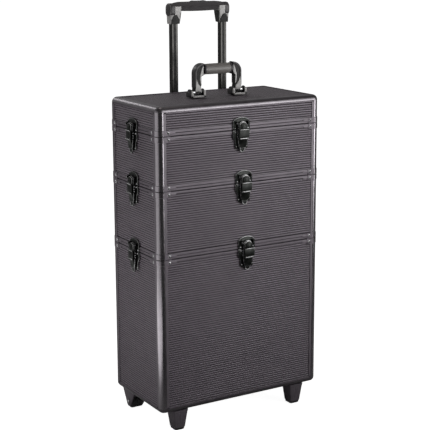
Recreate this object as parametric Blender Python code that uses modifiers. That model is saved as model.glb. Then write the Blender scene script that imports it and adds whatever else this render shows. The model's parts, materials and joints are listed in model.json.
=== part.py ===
"""A three-tier rolling make-up train case: trunk, two lift-off tiers, lid, latches and trolley handle.

Metres, +Z up. The case stands on the plane z = 0, its front faces -Y, and the origin is under the
middle of the whole object's box. Heights are from the floor; depths are from the middle of the case.
"""

import math

import bmesh
import bpy
from mathutils import Matrix

# Case
CASE_WIDTH = 0.360
CASE_DEPTH = 0.195
GROUND_CLEARANCE = 0.0425
TRUNK_SEAM = 0.3455
MIDDLE_SEAM = 0.475
TOP_SEAM = 0.5775
LID_TOP = 0.6325
SEAM_GAP = 0.0006
CLEARANCE = 0.0003

# Aluminium edge frames
CORNER_RADIUS = 0.012
CORNER_STEPS = 4
EDGE_RADIUS = 0.010
FRAME_WALL = 0.0012
CORNER_FLANGE = 0.018
END_FLANGE = 0.0115
LOWER_RIM = 0.0115
UPPER_RIM = 0.0055
LID_EDGE_FLANGE = 0.0135
TRUNK_EDGE_FLANGE = 0.012
LIP_THICKNESS = 0.0015
LOWER_LIP = 0.004
UPPER_LIP = 0.006
TONGUE_INSET = 0.0045
TONGUE_HEIGHT = 0.0035
BRACKET_LEG = 0.026
BRACKET_PROUD = 0.0008

# Ribbed panels inside the frames
PANEL_INSET = FRAME_WALL + CLEARANCE
PANEL_WALL = 0.0035
PANEL_RADIUS = CORNER_RADIUS - PANEL_INSET
FLOOR_ABOVE_SEAM = 0.006

# Latches
LATCH_FRONT_X = (-0.0015, 0.004, 0.0105)
LATCH_SIDE_Y = 0.0
LATCH_PLATE_HALF = 0.019
LATCH_PLATE_THICK = 0.0016
HINGE_PLATE_TOP = 0.0245
HINGE_ARCH_RISE = 0.011
CATCH_PLATE_BOTTOM = -0.036
CATCH_SHOULDER = (-0.014, -0.019)
CATCH_NARROW_HALF = 0.014
HASP_HALF = 0.0105
HASP_TAB_HALF = 0.0062
HASP_PIVOT_UP = 0.0135
HASP_PIVOT_OUT = 0.0066
HASP_END_RADIUS = 0.0036
HASP_BOTTOM = -0.0425
HASP_OUT = 0.0125
HASP_NECK = (-0.0047, -0.002)
HASP_FACE = (-0.010, -0.021)
HASP_CHIN = (-0.0035, -0.031)
HASP_TIP = (-0.0028, -0.040)
HASP_TAB_TOP = -0.036
HASP_BEHIND = 0.0004
HASP_PIN_RADIUS = 0.0012
LUG_THICK = 0.002
LUG_RADIUS = 0.0034

# Carry handle
HANDLE_X = 0.001
HANDLE_Y = -0.005
HANDLE_FOOT_X = 0.0465
HANDLE_FOOT_WIDTH = 0.032
HANDLE_FOOT_DEPTH = 0.022
HANDLE_FOOT_HEIGHT = 0.016
HANDLE_EAR = 0.004
HANDLE_BASE = 0.0025
HANDLE_SILL = 0.0045
HANDLE_PIVOT_UP = 0.0095
HANDLE_EYE_RADIUS = 0.0052
HANDLE_PIN_RADIUS = 0.002
HANDLE_OUTER_HALF = 0.0525
HANDLE_INNER_HALF = 0.0375
HANDLE_ARM_DEPTH = 0.015
HANDLE_ARM_LOW = 0.011
HANDLE_SHOULDER_RADIUS = 0.018
HANDLE_SHOULDER_DROP = 0.004
HANDLE_EYE_BLOCK = 0.015
HANDLE_GRIP_UP = 0.0527
HANDLE_PAD_RADIUS = 0.0123
HANDLE_PAD_HALF = 0.0325
HANDLE_PAD_ROUNDING = 0.0025
HANDLE_CORE_RADIUS = 0.005

# Trolley
TROLLEY_X = 0.0285
TROLLEY_Y = 0.114
TUBE_HALF_SPACING = 0.0567
INNER_TUBE = (0.016, 0.011)
TUBE_RADIUS = 0.0025
TUBE_WALL = 0.0009
STAGE_GAP = 0.0003
OUTER_TUBE_Z = (0.0545, 0.3405)
MIDDLE_TUBE_Z = (0.3025, 0.6025)
INNER_TUBE_Z = (0.5625, 0.790)
LOWER_BRACKET_Z = (0.0485, 0.0725)
UPPER_BRACKET_Z = (0.3145, 0.3365)
BRACKET_WALL = 0.0028
BRACKET_END = 0.004
SLEEVE_Z = (0.7658, 0.7882)
SLEEVE_SIZE = (0.0215, 0.0165)
GRIP_Z = (0.7885, 0.8087)
GRIP_WIDTH = 0.138
GRIP_DEPTH = 0.024
GRIP_ROUNDING = 0.006
BUTTON_SIZE = (0.034, 0.011)
BUTTON_PROUD = 0.0020
BUTTON_POCKET = 0.008
BUTTON_TRAVEL_ROOM = 0.003

# Feet and wheels
FOOT_X = 0.1345
FOOT_Y = -0.0775
FOOT_TOP = 0.033
FOOT_BOTTOM = 0.0225
FOOT_ROUNDING = 0.002
WHEEL_RADIUS = 0.0135
WHEEL_ROUNDING = 0.003
WHEEL_Y = 0.066
WHEEL_X = (0.1400, 0.1640)
CHEEK_THICK = 0.003
CHEEK_GAP = 0.0005
CHEEK_END_RADIUS = 0.0098
CHEEK_TOP_HALF = 0.025
BRIDGE_THICK = 0.004
AXLE_RADIUS = 0.0025
AXLE_HEAD_RADIUS = 0.0042
AXLE_HEAD_THICK = 0.002

# The case sits off the origin by this much, so that the object's box is centred over it.
BACK_REACH = TROLLEY_Y + GRIP_DEPTH / 2
FRONT_REACH = CASE_DEPTH / 2 + HASP_OUT
CASE_Y = (FRONT_REACH - BACK_REACH) / 2

SECTIONS = ("trunk", "middle", "top", "lid")
SEAMS = (TRUNK_SEAM, MIDDLE_SEAM, TOP_SEAM)
SIDES = (("left", -1), ("right", 1))


# ---- Materials ----------------------------------------------------------------------------------


def make_material(name, colour, roughness, metallic=0.0):
    material = bpy.data.materials.new(name)
    material.use_nodes = True
    shader = material.node_tree.nodes["Principled BSDF"]
    shader.inputs["Base Color"].default_value = (*colour, 1.0)
    shader.inputs["Roughness"].default_value = roughness
    shader.inputs["Metallic"].default_value = metallic
    return material


# ---- Meshes -------------------------------------------------------------------------------------


def finish_mesh(bm, name):
    bmesh.ops.recalc_face_normals(bm, faces=bm.faces)
    mesh = bpy.data.meshes.new(name)
    bm.to_mesh(mesh)
    bm.free()
    mesh.shade_smooth()
    mesh.set_sharp_from_angle(angle=math.radians(30))
    return mesh


def mesh_of(obj, name):
    """The evaluated mesh of a helper object, welded, with the helper removed."""
    graph = bpy.context.evaluated_depsgraph_get()
    evaluated = bpy.data.meshes.new_from_object(obj.evaluated_get(graph))
    bm = bmesh.new()
    bm.from_mesh(evaluated)
    bmesh.ops.remove_doubles(bm, verts=bm.verts, dist=1e-6)
    bpy.data.objects.remove(obj)
    bpy.data.meshes.remove(evaluated)
    return finish_mesh(bm, name)


def box(size, centre, bevel=0.0, segments=2):
    bm = bmesh.new()
    bmesh.ops.create_cube(bm, size=1.0)
    bmesh.ops.scale(bm, vec=size, verts=bm.verts)
    bmesh.ops.translate(bm, vec=centre, verts=bm.verts)
    if bevel:
        bmesh.ops.bevel(bm, geom=bm.edges[:], offset=bevel, segments=segments, affect="EDGES", profile=0.5)
    return finish_mesh(bm, "box")


def cylinder(radius, length, centre, axis="X", sides=16, end_radius=None):
    """A cylinder, or a cone to end_radius, along a row axis."""
    turns = {
        "X": Matrix.Rotation(math.pi / 2, 4, "Y"),
        "Y": Matrix.Rotation(-math.pi / 2, 4, "X"),
        "Z": Matrix(),
    }
    bm = bmesh.new()
    bmesh.ops.create_cone(
        bm,
        cap_ends=True,
        segments=sides,
        radius1=radius,
        radius2=radius if end_radius is None else end_radius,
        depth=length,
        matrix=Matrix.Translation(centre) @ turns[axis],
    )
    return finish_mesh(bm, "cylinder")


def flat_curve(points, closed=True):
    curve = bpy.data.curves.new("outline", "CURVE")
    curve.dimensions = "2D"
    spline = curve.splines.new("POLY")
    spline.points.add(len(points) - 1)
    for point, (x, y) in zip(spline.points, points):
        point.co = (x, y, 0.0, 1.0)
    spline.use_cyclic_u = closed
    return curve


def linked(data):
    obj = bpy.data.objects.new("helper", data)
    bpy.context.scene.collection.objects.link(obj)
    return obj


def plate(outline, thickness, placing=Matrix()):
    """A flat outline, as (x, y) points, thickened about its plane and moved by placing."""
    curve = flat_curve(outline)
    curve.fill_mode = "BOTH"
    curve.extrude = thickness / 2
    mesh = mesh_of(linked(curve), "plate")
    mesh.transform(placing)
    return mesh


def sweep(path, profile, closed=True):
    """A closed profile, as (inwards, up) points, carried along a level path."""
    curve = flat_curve(path, closed)
    section = linked(flat_curve(profile))
    curve.bevel_mode = "OBJECT"
    curve.bevel_object = section
    curve.use_fill_caps = not closed
    mesh = mesh_of(linked(curve), "sweep")
    bpy.data.objects.remove(section)
    return mesh


def combined(operation, base, *tools):
    """The base mesh with each tool mesh joined to it (UNION) or cut from it (DIFFERENCE)."""
    obj = linked(base)
    helpers = [linked(tool) for tool in tools]
    for helper in helpers:
        modifier = obj.modifiers.new("combine", "BOOLEAN")
        modifier.operation = operation
        modifier.object = helper
    mesh = mesh_of(obj, "combined")
    for helper in helpers:
        bpy.data.objects.remove(helper)
    return mesh


# ---- Outlines -----------------------------------------------------------------------------------


def arc(centre, radius, start_deg, end_deg, steps):
    return [
        (
            centre[0] + radius * math.cos(math.radians(start_deg + (end_deg - start_deg) * i / steps)),
            centre[1] + radius * math.sin(math.radians(start_deg + (end_deg - start_deg) * i / steps)),
        )
        for i in range(steps + 1)
    ]


def rounded_rectangle(width, depth, radius, steps=CORNER_STEPS):
    points = []
    for x_sign, y_sign, start in ((1, 1, 0), (-1, 1, 90), (-1, -1, 180), (1, -1, 270)):
        centre = (x_sign * (width / 2 - radius), y_sign * (depth / 2 - radius))
        points += arc(centre, radius, start, start + 90, steps)
    return points


# ---- Objects ------------------------------------------------------------------------------------


class Builder:
    """Places named meshes in the case's collection, in the case's own frame."""

    def __init__(self):
        self.collection = bpy.data.collections.new("makeup_train_case")
        bpy.context.scene.collection.children.link(self.collection)
        self.case = self.anchor("case_middle", None, (0.0, CASE_Y, 0.0))

    def anchor(self, name, parent, location, turn=0.0):
        empty = bpy.data.objects.new(name, None)
        empty.empty_display_size = 0.02
        empty.parent = parent
        empty.location = location
        empty.rotation_euler = (0.0, 0.0, turn)
        self.collection.objects.link(empty)
        return empty

    def add(self, name, mesh, material, parent=None, origin=(0.0, 0.0, 0.0)):
        """Adds a mesh whose points are measured from origin, in the parent's frame."""
        obj = bpy.data.objects.new(name, mesh)
        if not mesh.materials:
            mesh.name = name
            mesh.materials.append(material)
        obj.parent = parent or self.case
        obj.location = origin
        self.collection.objects.link(obj)
        return obj


# ---- Frames -------------------------------------------------------------------------------------


def frame_profile(section, low, high):
    """Section through one wall of a frame, as (inwards, up) points from the outer face."""
    wall = FRAME_WALL
    if section == "lid":
        outer = arc((EDGE_RADIUS, high - EDGE_RADIUS), EDGE_RADIUS, 180, 90, 4)
        inner = arc((EDGE_RADIUS, high - EDGE_RADIUS), EDGE_RADIUS - wall, 90, 180, 4)
        top = outer + [(END_FLANGE, high), (END_FLANGE, high - wall)] + inner
    else:
        tongue_outer = TONGUE_INSET
        top = [
            (0.0, high),
            (tongue_outer, high),
            (tongue_outer, high + TONGUE_HEIGHT),
            (UPPER_LIP, high + TONGUE_HEIGHT),
            (UPPER_LIP, high - LIP_THICKNESS),
            (wall, high - LIP_THICKNESS),
        ]
    if section == "trunk":
        inner = arc((EDGE_RADIUS, low + EDGE_RADIUS), EDGE_RADIUS - wall, 180, 270, 4)
        outer = arc((EDGE_RADIUS, low + EDGE_RADIUS), EDGE_RADIUS, 270, 180, 4)
        bottom = inner + [(END_FLANGE, low + wall), (END_FLANGE, low)] + outer
    else:
        bottom = [(wall, low + LIP_THICKNESS), (LOWER_LIP, low + LIP_THICKNESS), (LOWER_LIP, low), (0.0, low)]
    return top + bottom


def corner_bracket(x_sign, y_sign, low, high):
    """A bent plate round one corner, standing slightly proud of the frame."""
    radius = CORNER_RADIUS
    width, depth = CASE_WIDTH / 2, CASE_DEPTH / 2
    bend = arc((width - radius, depth - radius), radius, 0, 90, CORNER_STEPS)
    path = [(width, depth - BRACKET_LEG)] + bend + [(width - BRACKET_LEG, depth)]
    profile = [
        (-BRACKET_PROUD, low),
        (FRAME_WALL / 2, low),
        (FRAME_WALL / 2, high),
        (-BRACKET_PROUD, high),
    ]
    mesh = sweep(path, profile, closed=False)
    mesh.transform(Matrix.Diagonal((x_sign, y_sign, 1.0, 1.0)))
    if x_sign * y_sign < 0:
        mesh.flip_normals()
    return mesh


def build_frame(build, section, low, high, material):
    outline = rounded_rectangle(CASE_WIDTH, CASE_DEPTH, CORNER_RADIUS)
    mesh = sweep(outline, frame_profile(section, low, high))

    window_low = low + (TRUNK_EDGE_FLANGE if section == "trunk" else LOWER_RIM)
    window_high = high - (LID_EDGE_FLANGE if section == "lid" else UPPER_RIM)
    height, middle = window_high - window_low, (window_high + window_low) / 2
    through = 0.05
    front_window = box((CASE_WIDTH - 2 * CORNER_FLANGE, CASE_DEPTH + through, height), (0, 0, middle))
    side_window = box((CASE_WIDTH + through, CASE_DEPTH - 2 * CORNER_FLANGE, height), (0, 0, middle))
    mesh = combined("DIFFERENCE", mesh, front_window, side_window)

    brackets = []
    for x_sign in (-1, 1):
        for y_sign in (-1, 1):
            if section != "trunk":
                brackets.append(corner_bracket(x_sign, y_sign, low, low + LOWER_RIM))
            if section != "lid":
                brackets.append(corner_bracket(x_sign, y_sign, high - LOWER_RIM, high))
    build.add(f"{section}_frame", combined("UNION", mesh, *brackets), material)


# ---- Panels -------------------------------------------------------------------------------------


def open_tray(low, high, rounded_end):
    """A thin-walled tray, open at the top, whose closed end is rounded when rounded_end is set."""
    width, depth = CASE_WIDTH - 2 * PANEL_INSET, CASE_DEPTH - 2 * PANEL_INSET
    bm = bmesh.new()
    bmesh.ops.create_cube(bm, size=1.0)
    bmesh.ops.scale(bm, vec=(width, depth, high - low), verts=bm.verts)
    bmesh.ops.translate(bm, vec=(0, 0, (low + high) / 2), verts=bm.verts)
    rounded = [
        edge
        for edge in bm.edges
        if abs(edge.verts[0].co.z - edge.verts[1].co.z) > 1e-6
        or (rounded_end and edge.verts[0].co.z < (low + high) / 2)
    ]
    bmesh.ops.bevel(
        bm, geom=rounded, offset=PANEL_RADIUS, segments=CORNER_STEPS, affect="EDGES", profile=0.5
    )
    mouth = [face for face in bm.faces if face.calc_center_median().z > high - 1e-6]
    bmesh.ops.delete(bm, geom=mouth, context="FACES_ONLY")
    bmesh.ops.recalc_face_normals(bm, faces=bm.faces)
    mesh = bpy.data.meshes.new("tray")
    bm.to_mesh(mesh)
    bm.free()
    obj = linked(mesh)
    solidify = obj.modifiers.new("wall", "SOLIDIFY")
    solidify.thickness = PANEL_WALL
    solidify.offset = -1.0
    solidify.use_even_offset = True
    return mesh_of(obj, "tray")


def build_panels(build, section, low, high, material):
    if section == "trunk":
        mesh = open_tray(low + PANEL_INSET, high - LIP_THICKNESS - CLEARANCE, rounded_end=True)
    elif section == "lid":
        mesh = open_tray(-high + PANEL_INSET, -low - FLOOR_ABOVE_SEAM, rounded_end=True)
        mesh.transform(Matrix.Rotation(math.pi, 4, "X"))
    else:
        mesh = open_tray(low + FLOOR_ABOVE_SEAM, high - LIP_THICKNESS - CLEARANCE, rounded_end=False)
    build.add(f"{section}_shell", mesh, material)


# ---- Latches ------------------------------------------------------------------------------------

# A latch is drawn facing -Y: x runs along the case's face, y = 0 is the face, z = 0 is the seam.
UPRIGHT = Matrix.Rotation(math.pi / 2, 4, "X")
ALONG_X = Matrix(((0, 0, 1, 0), (1, 0, 0, 0), (0, 1, 0, 0), (0, 0, 0, 1)))


def hinge_plate_mesh():
    """Arched plate with two lugs that carry the hasp's pin."""
    half, rise = LATCH_PLATE_HALF, HINGE_ARCH_RISE
    spring_line = HINGE_PLATE_TOP - rise
    outline = [(-half, SEAM_GAP), (half, SEAM_GAP)]
    for degrees in range(0, 181, 20):
        turn = math.radians(degrees)
        outline.append((half * math.cos(turn), spring_line + rise * math.sin(turn)))
    centre_y = -CLEARANCE - LATCH_PLATE_THICK / 2
    mesh = plate(outline, LATCH_PLATE_THICK, Matrix.Translation((0, centre_y, 0)) @ UPRIGHT)
    lug = [(-CLEARANCE - LATCH_PLATE_THICK / 2, HASP_PIVOT_UP + LUG_RADIUS)]
    lug += arc((-HASP_PIVOT_OUT, HASP_PIVOT_UP), LUG_RADIUS, 90, 270, 6)
    lug += [(-CLEARANCE - LATCH_PLATE_THICK / 2, HASP_PIVOT_UP - LUG_RADIUS)]
    lug_x = HASP_HALF + CLEARANCE + LUG_THICK / 2
    lugs = [plate(lug, LUG_THICK, Matrix.Translation((sign * lug_x, 0, 0)) @ ALONG_X) for sign in (-1, 1)]
    mesh = combined("UNION", mesh, *lugs)
    bore = cylinder(HASP_PIN_RADIUS + CLEARANCE, 4 * HASP_HALF, (0, -HASP_PIVOT_OUT, HASP_PIVOT_UP), "X", 10)
    return combined("DIFFERENCE", mesh, bore)


def hasp_mesh():
    """Swinging cover with its hinge pin and pull tab, measured from its pivot."""
    back = HASP_PIVOT_OUT - CLEARANCE - LATCH_PLATE_THICK - HASP_BEHIND
    front = HASP_PIVOT_OUT - HASP_OUT
    body = arc((0.0, 0.0), HASP_END_RADIUS, 0, 150, 6)
    body += [HASP_NECK] + [(front, up) for up in HASP_FACE] + [HASP_CHIN, HASP_TIP, (back, HASP_TIP[1])]
    mesh = plate(body, 2 * HASP_HALF, ALONG_X)
    tab_low = HASP_BOTTOM - HASP_PIVOT_UP + HASP_TAB_HALF
    tab = [(HASP_TAB_HALF, HASP_TAB_TOP), (-HASP_TAB_HALF, HASP_TAB_TOP)]
    tab += arc((0.0, tab_low), HASP_TAB_HALF, 180, 360, 8)
    tab_front = HASP_TIP[0] + CLEARANCE
    tab_back = back - CLEARANCE
    placing = Matrix.Translation((0, (tab_back + tab_front) / 2, 0)) @ UPRIGHT
    tab_mesh = plate(tab, tab_back - tab_front, placing)
    pin_length = 2 * (HASP_HALF + CLEARANCE + LUG_THICK)
    pin = cylinder(HASP_PIN_RADIUS, pin_length, (0, 0, 0), "X", 10)
    return combined("UNION", mesh, tab_mesh, pin)


def catch_plate_mesh():
    """Lower plate, wide by the seam and narrow below, that the hasp laps over."""
    half, narrow = LATCH_PLATE_HALF, CATCH_NARROW_HALF
    wide_to, narrow_from = CATCH_SHOULDER
    right = [(half, -SEAM_GAP), (half, wide_to), (narrow, narrow_from), (narrow, CATCH_PLATE_BOTTOM)]
    outline = [(-x, z) for x, z in right] + right[::-1]
    centre_y = -CLEARANCE - LATCH_PLATE_THICK / 2
    return plate(outline, LATCH_PLATE_THICK, Matrix.Translation((0, centre_y, 0)) @ UPRIGHT)


def build_latches(build, material):
    hinge_plate, hasp, catch_plate = hinge_plate_mesh(), hasp_mesh(), catch_plate_mesh()
    for index, seam in enumerate(SEAMS):
        level = ("lower", "middle", "upper")[index]
        front_x = LATCH_FRONT_X[2 - index]
        places = (
            ("front", (front_x, -CASE_DEPTH / 2, seam), 0.0),
            ("left", (-CASE_WIDTH / 2, LATCH_SIDE_Y, seam), -math.pi / 2),
            ("right", (CASE_WIDTH / 2, LATCH_SIDE_Y, seam), math.pi / 2),
        )
        for side, place, turn in places:
            name = f"{level}_latch_{side}"
            seat = build.anchor(f"{name}_seat", build.case, place, turn)
            build.add(f"{name}_hinge_plate", hinge_plate, material, seat)
            build.add(f"{name}_hasp", hasp, material, seat, (0, -HASP_PIVOT_OUT, HASP_PIVOT_UP))
            build.add(f"{name}_catch_plate", catch_plate, material, seat)


# ---- Carry handle -------------------------------------------------------------------------------


def handle_foot_mesh():
    """Clevis bracket measured from the middle of its base."""
    width, depth, height = HANDLE_FOOT_WIDTH, HANDLE_FOOT_DEPTH, HANDLE_FOOT_HEIGHT
    mesh = box((width, depth, HANDLE_BASE), (0, 0, HANDLE_BASE / 2))
    ear_x = (width - HANDLE_EAR) / 2
    sill_y = (depth - HANDLE_EAR / 2) / 2
    parts = [box((HANDLE_EAR, depth, height), (sign * ear_x, 0, height / 2), 0.001, 1) for sign in (-1, 1)]
    parts += [
        box((width - HANDLE_EAR, HANDLE_EAR / 2, HANDLE_SILL), (0, sign * sill_y, HANDLE_SILL / 2))
        for sign in (-1, 1)
    ]
    mesh = combined("UNION", mesh, *parts)
    bore = cylinder(HANDLE_PIN_RADIUS + CLEARANCE, 2 * width, (0, 0, HANDLE_PIVOT_UP), "X", 12)
    return combined("DIFFERENCE", mesh, bore)


def bail_mesh():
    """Two arms, joined by the core that runs through the pad, measured from the pivot axis."""
    grip_up = HANDLE_GRIP_UP - HANDLE_PIVOT_UP
    top, underside = grip_up + HANDLE_PAD_RADIUS, grip_up - HANDLE_PAD_RADIUS
    outer, inner, bend = HANDLE_OUTER_HALF, HANDLE_INNER_HALF, HANDLE_SHOULDER_RADIUS
    pad_end = HANDLE_PAD_HALF + CLEARANCE
    arm = [(inner, HANDLE_ARM_LOW), (outer, HANDLE_ARM_LOW)]
    arm += arc((outer - bend, top - bend), bend, 0, 90, 6)
    arm += [(pad_end, top), (pad_end, underside), (inner, underside - HANDLE_SHOULDER_DROP)]
    foot_inner = HANDLE_FOOT_X - HANDLE_FOOT_WIDTH / 2 + HANDLE_EAR + CLEARANCE
    foot_outer = HANDLE_FOOT_X + HANDLE_FOOT_WIDTH / 2 - HANDLE_EAR - CLEARANCE
    eye_x, eye_length = (foot_inner + foot_outer) / 2, foot_outer - foot_inner
    pin_length = eye_length + 2 * (HANDLE_EAR + CLEARANCE)
    halves = []
    for sign in (-1, 1):
        mirror = Matrix.Diagonal((sign, 1.0, 1.0, 1.0))
        strap = plate(arm, HANDLE_ARM_DEPTH, UPRIGHT)
        strap.transform(mirror)
        if sign < 0:
            strap.flip_normals()
        halves.append(strap)
        block_size = (eye_length - 2 * CLEARANCE, 2 * HANDLE_EYE_RADIUS, HANDLE_EYE_BLOCK)
        halves.append(box(block_size, (sign * eye_x, 0, HANDLE_EYE_BLOCK / 2)))
        halves.append(cylinder(HANDLE_EYE_RADIUS, eye_length, (sign * eye_x, 0, 0), "X", 16))
        halves.append(cylinder(HANDLE_PIN_RADIUS, pin_length, (sign * eye_x, 0, 0), "X", 12))
    core = cylinder(HANDLE_CORE_RADIUS, 2 * outer - bend, (0, 0, grip_up), "X", 16)
    return combined("UNION", core, *halves)


def pad_mesh():
    """Padded sleeve, a tube turned about X with rounded ends, measured from the pivot axis."""
    outer, bore, half = HANDLE_PAD_RADIUS, HANDLE_CORE_RADIUS + CLEARANCE, HANDLE_PAD_HALF
    round_off = HANDLE_PAD_ROUNDING
    profile = [(bore, half)] + arc((outer - round_off, half - round_off), round_off, 90, 0, 3)
    profile += [(radius, -along) for radius, along in reversed(profile)]
    section = linked(turned_profile(profile))
    screw = section.modifiers.new("turn", "SCREW")
    screw.steps = screw.render_steps = 24
    screw.use_merge_vertices = True
    screw.merge_threshold = 1e-5
    mesh = mesh_of(section, "pad")
    grip_up = HANDLE_GRIP_UP - HANDLE_PIVOT_UP
    mesh.transform(Matrix.Translation((0, 0, grip_up)) @ Matrix.Rotation(math.pi / 2, 4, "Y"))
    return mesh


def turned_profile(points):
    """A closed wire of (radius, height) points, for a Screw modifier about Z."""
    bm = bmesh.new()
    verts = [bm.verts.new((radius, 0.0, height)) for radius, height in points]
    for first, second in zip(verts, verts[1:] + verts[:1]):
        bm.edges.new((first, second))
    mesh = bpy.data.meshes.new("profile")
    bm.to_mesh(mesh)
    bm.free()
    return mesh


def build_carry_handle(build, plastic, pad_material):
    foot = handle_foot_mesh()
    for side, sign in SIDES:
        place = (HANDLE_X + sign * HANDLE_FOOT_X, HANDLE_Y, LID_TOP + CLEARANCE)
        build.add(f"handle_foot_{side}", foot, plastic, origin=place)
    pivot = (HANDLE_X, HANDLE_Y, LID_TOP + CLEARANCE + HANDLE_PIVOT_UP)
    build.add("handle_bail", bail_mesh(), plastic, origin=pivot)
    build.add("handle_pad", pad_mesh(), pad_material, origin=pivot)


# ---- Trolley ------------------------------------------------------------------------------------


def tube(size, wall, span):
    """A rectangular tube with rounded corners, its length from span[0] to span[1]."""
    outline = rounded_rectangle(*size, TUBE_RADIUS, 2)
    return sweep(outline, [(0, span[0]), (wall, span[0]), (wall, span[1]), (0, span[1])])


def stage_sizes():
    """Outer sizes of the inner, middle and outer tubes."""
    growth = 2 * (TUBE_WALL + STAGE_GAP)
    return [(INNER_TUBE[0] + i * growth, INNER_TUBE[1] + i * growth) for i in range(3)]


def build_tubes(build, metals):
    spans = {"inner": INNER_TUBE_Z, "middle": MIDDLE_TUBE_Z, "outer": OUTER_TUBE_Z}
    for size, (stage, span) in zip(stage_sizes(), spans.items()):
        mesh = tube(size, TUBE_WALL, span)
        for side, sign in SIDES:
            place = (TROLLEY_X + sign * TUBE_HALF_SPACING, TROLLEY_Y, 0.0)
            build.add(f"trolley_{stage}_tube_{side}", mesh, metals[stage], origin=place)


def tube_holes(size, span):
    """Two cutters, one for each tube, a clearance larger than the tubes all round."""
    width, depth = size[0] + 2 * CLEARANCE, size[1] + 2 * CLEARANCE
    middle, height = (span[0] + span[1]) / 2, span[1] - span[0]
    return [box((width, depth, height), (sign * TUBE_HALF_SPACING, 0, middle)) for sign in (-1, 1)]


def build_tube_brackets(build, material):
    """Moulded blocks that hold the outer tubes to the trunk's back, at the bottom and at the top."""
    outer = stage_sizes()[2]
    back = CASE_DEPTH / 2 + CLEARANCE - TROLLEY_Y
    rear = outer[1] / 2 + BRACKET_WALL
    depth, middle_y = rear - back, (rear + back) / 2
    width = 2 * TUBE_HALF_SPACING + outer[0] + 2 * BRACKET_END
    through = 0.01
    for name, (low, high) in {"lower": LOWER_BRACKET_Z, "upper": UPPER_BRACKET_Z}.items():
        mesh = box((width, depth, high - low), (0, middle_y, (low + high) / 2), 0.0015, 1)
        holes = tube_holes(outer, (low - through, high + through))
        mesh = combined("DIFFERENCE", mesh, *holes)
        build.add(f"trolley_{name}_bracket", mesh, material, origin=(TROLLEY_X, TROLLEY_Y, 0))


def build_grip(build, grip_material, sleeve_material, button_material):
    low, high = GRIP_Z
    middle = (low + high) / 2
    origin = (TROLLEY_X, TROLLEY_Y, 0)
    mesh = box((GRIP_WIDTH, GRIP_DEPTH, high - low), (0, 0, middle), GRIP_ROUNDING, 3)
    through = 0.01
    sockets = tube_holes(INNER_TUBE, (low - through, INNER_TUBE_Z[1] + CLEARANCE))
    pocket_low = high - BUTTON_POCKET
    pocket_size = [side + 2 * CLEARANCE for side in BUTTON_SIZE]
    pocket = box((*pocket_size, 2 * BUTTON_POCKET), (0, 0, pocket_low + BUTTON_POCKET))
    build.add("trolley_grip", combined("DIFFERENCE", mesh, pocket, *sockets), grip_material, origin=origin)

    button_low = pocket_low + BUTTON_TRAVEL_ROOM
    button_high = high + BUTTON_PROUD
    button = box((*BUTTON_SIZE, button_high - button_low), (0, 0, (button_high + button_low) / 2), 0.0008, 1)
    build.add("trolley_button", button, button_material, origin=origin)

    height, centre = SLEEVE_Z[1] - SLEEVE_Z[0], (SLEEVE_Z[0] + SLEEVE_Z[1]) / 2
    hole_size = (INNER_TUBE[0] + 2 * CLEARANCE, INNER_TUBE[1] + 2 * CLEARANCE, 2 * height)
    for side, sign in SIDES:
        sleeve = box((*SLEEVE_SIZE, height), (0, 0, centre), 0.0015, 1)
        hole = box(hole_size, (0, 0, centre))
        place = (TROLLEY_X + sign * TUBE_HALF_SPACING, TROLLEY_Y, 0)
        name = f"trolley_sleeve_{side}"
        build.add(name, combined("DIFFERENCE", sleeve, hole), sleeve_material, origin=place)


# ---- Feet and wheels ----------------------------------------------------------------------------


def build_feet(build, material):
    """Square tapered feet at the front."""
    height = GROUND_CLEARANCE - CLEARANCE
    bm = bmesh.new()
    bmesh.ops.create_cone(
        bm,
        cap_ends=True,
        segments=4,
        radius1=FOOT_BOTTOM / math.sqrt(2),
        radius2=FOOT_TOP / math.sqrt(2),
        depth=height,
        matrix=Matrix.Translation((0, 0, height / 2)) @ Matrix.Rotation(math.pi / 4, 4, "Z"),
    )
    bmesh.ops.bevel(bm, geom=bm.edges[:], offset=FOOT_ROUNDING, segments=2, affect="EDGES", profile=0.5)
    mesh = finish_mesh(bm, "foot")
    for side, sign in SIDES:
        build.add(f"foot_{side}", mesh, material, origin=(sign * FOOT_X, FOOT_Y, 0))


def cheek_outline():
    """Side of a wheel housing, wide under the case and round about the axle."""
    top = GROUND_CLEARANCE - CLEARANCE
    outline = [(CHEEK_TOP_HALF, top), (-CHEEK_TOP_HALF, top)]
    return outline + arc((0.0, WHEEL_RADIUS), CHEEK_END_RADIUS, 195, 345, 8)


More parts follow.
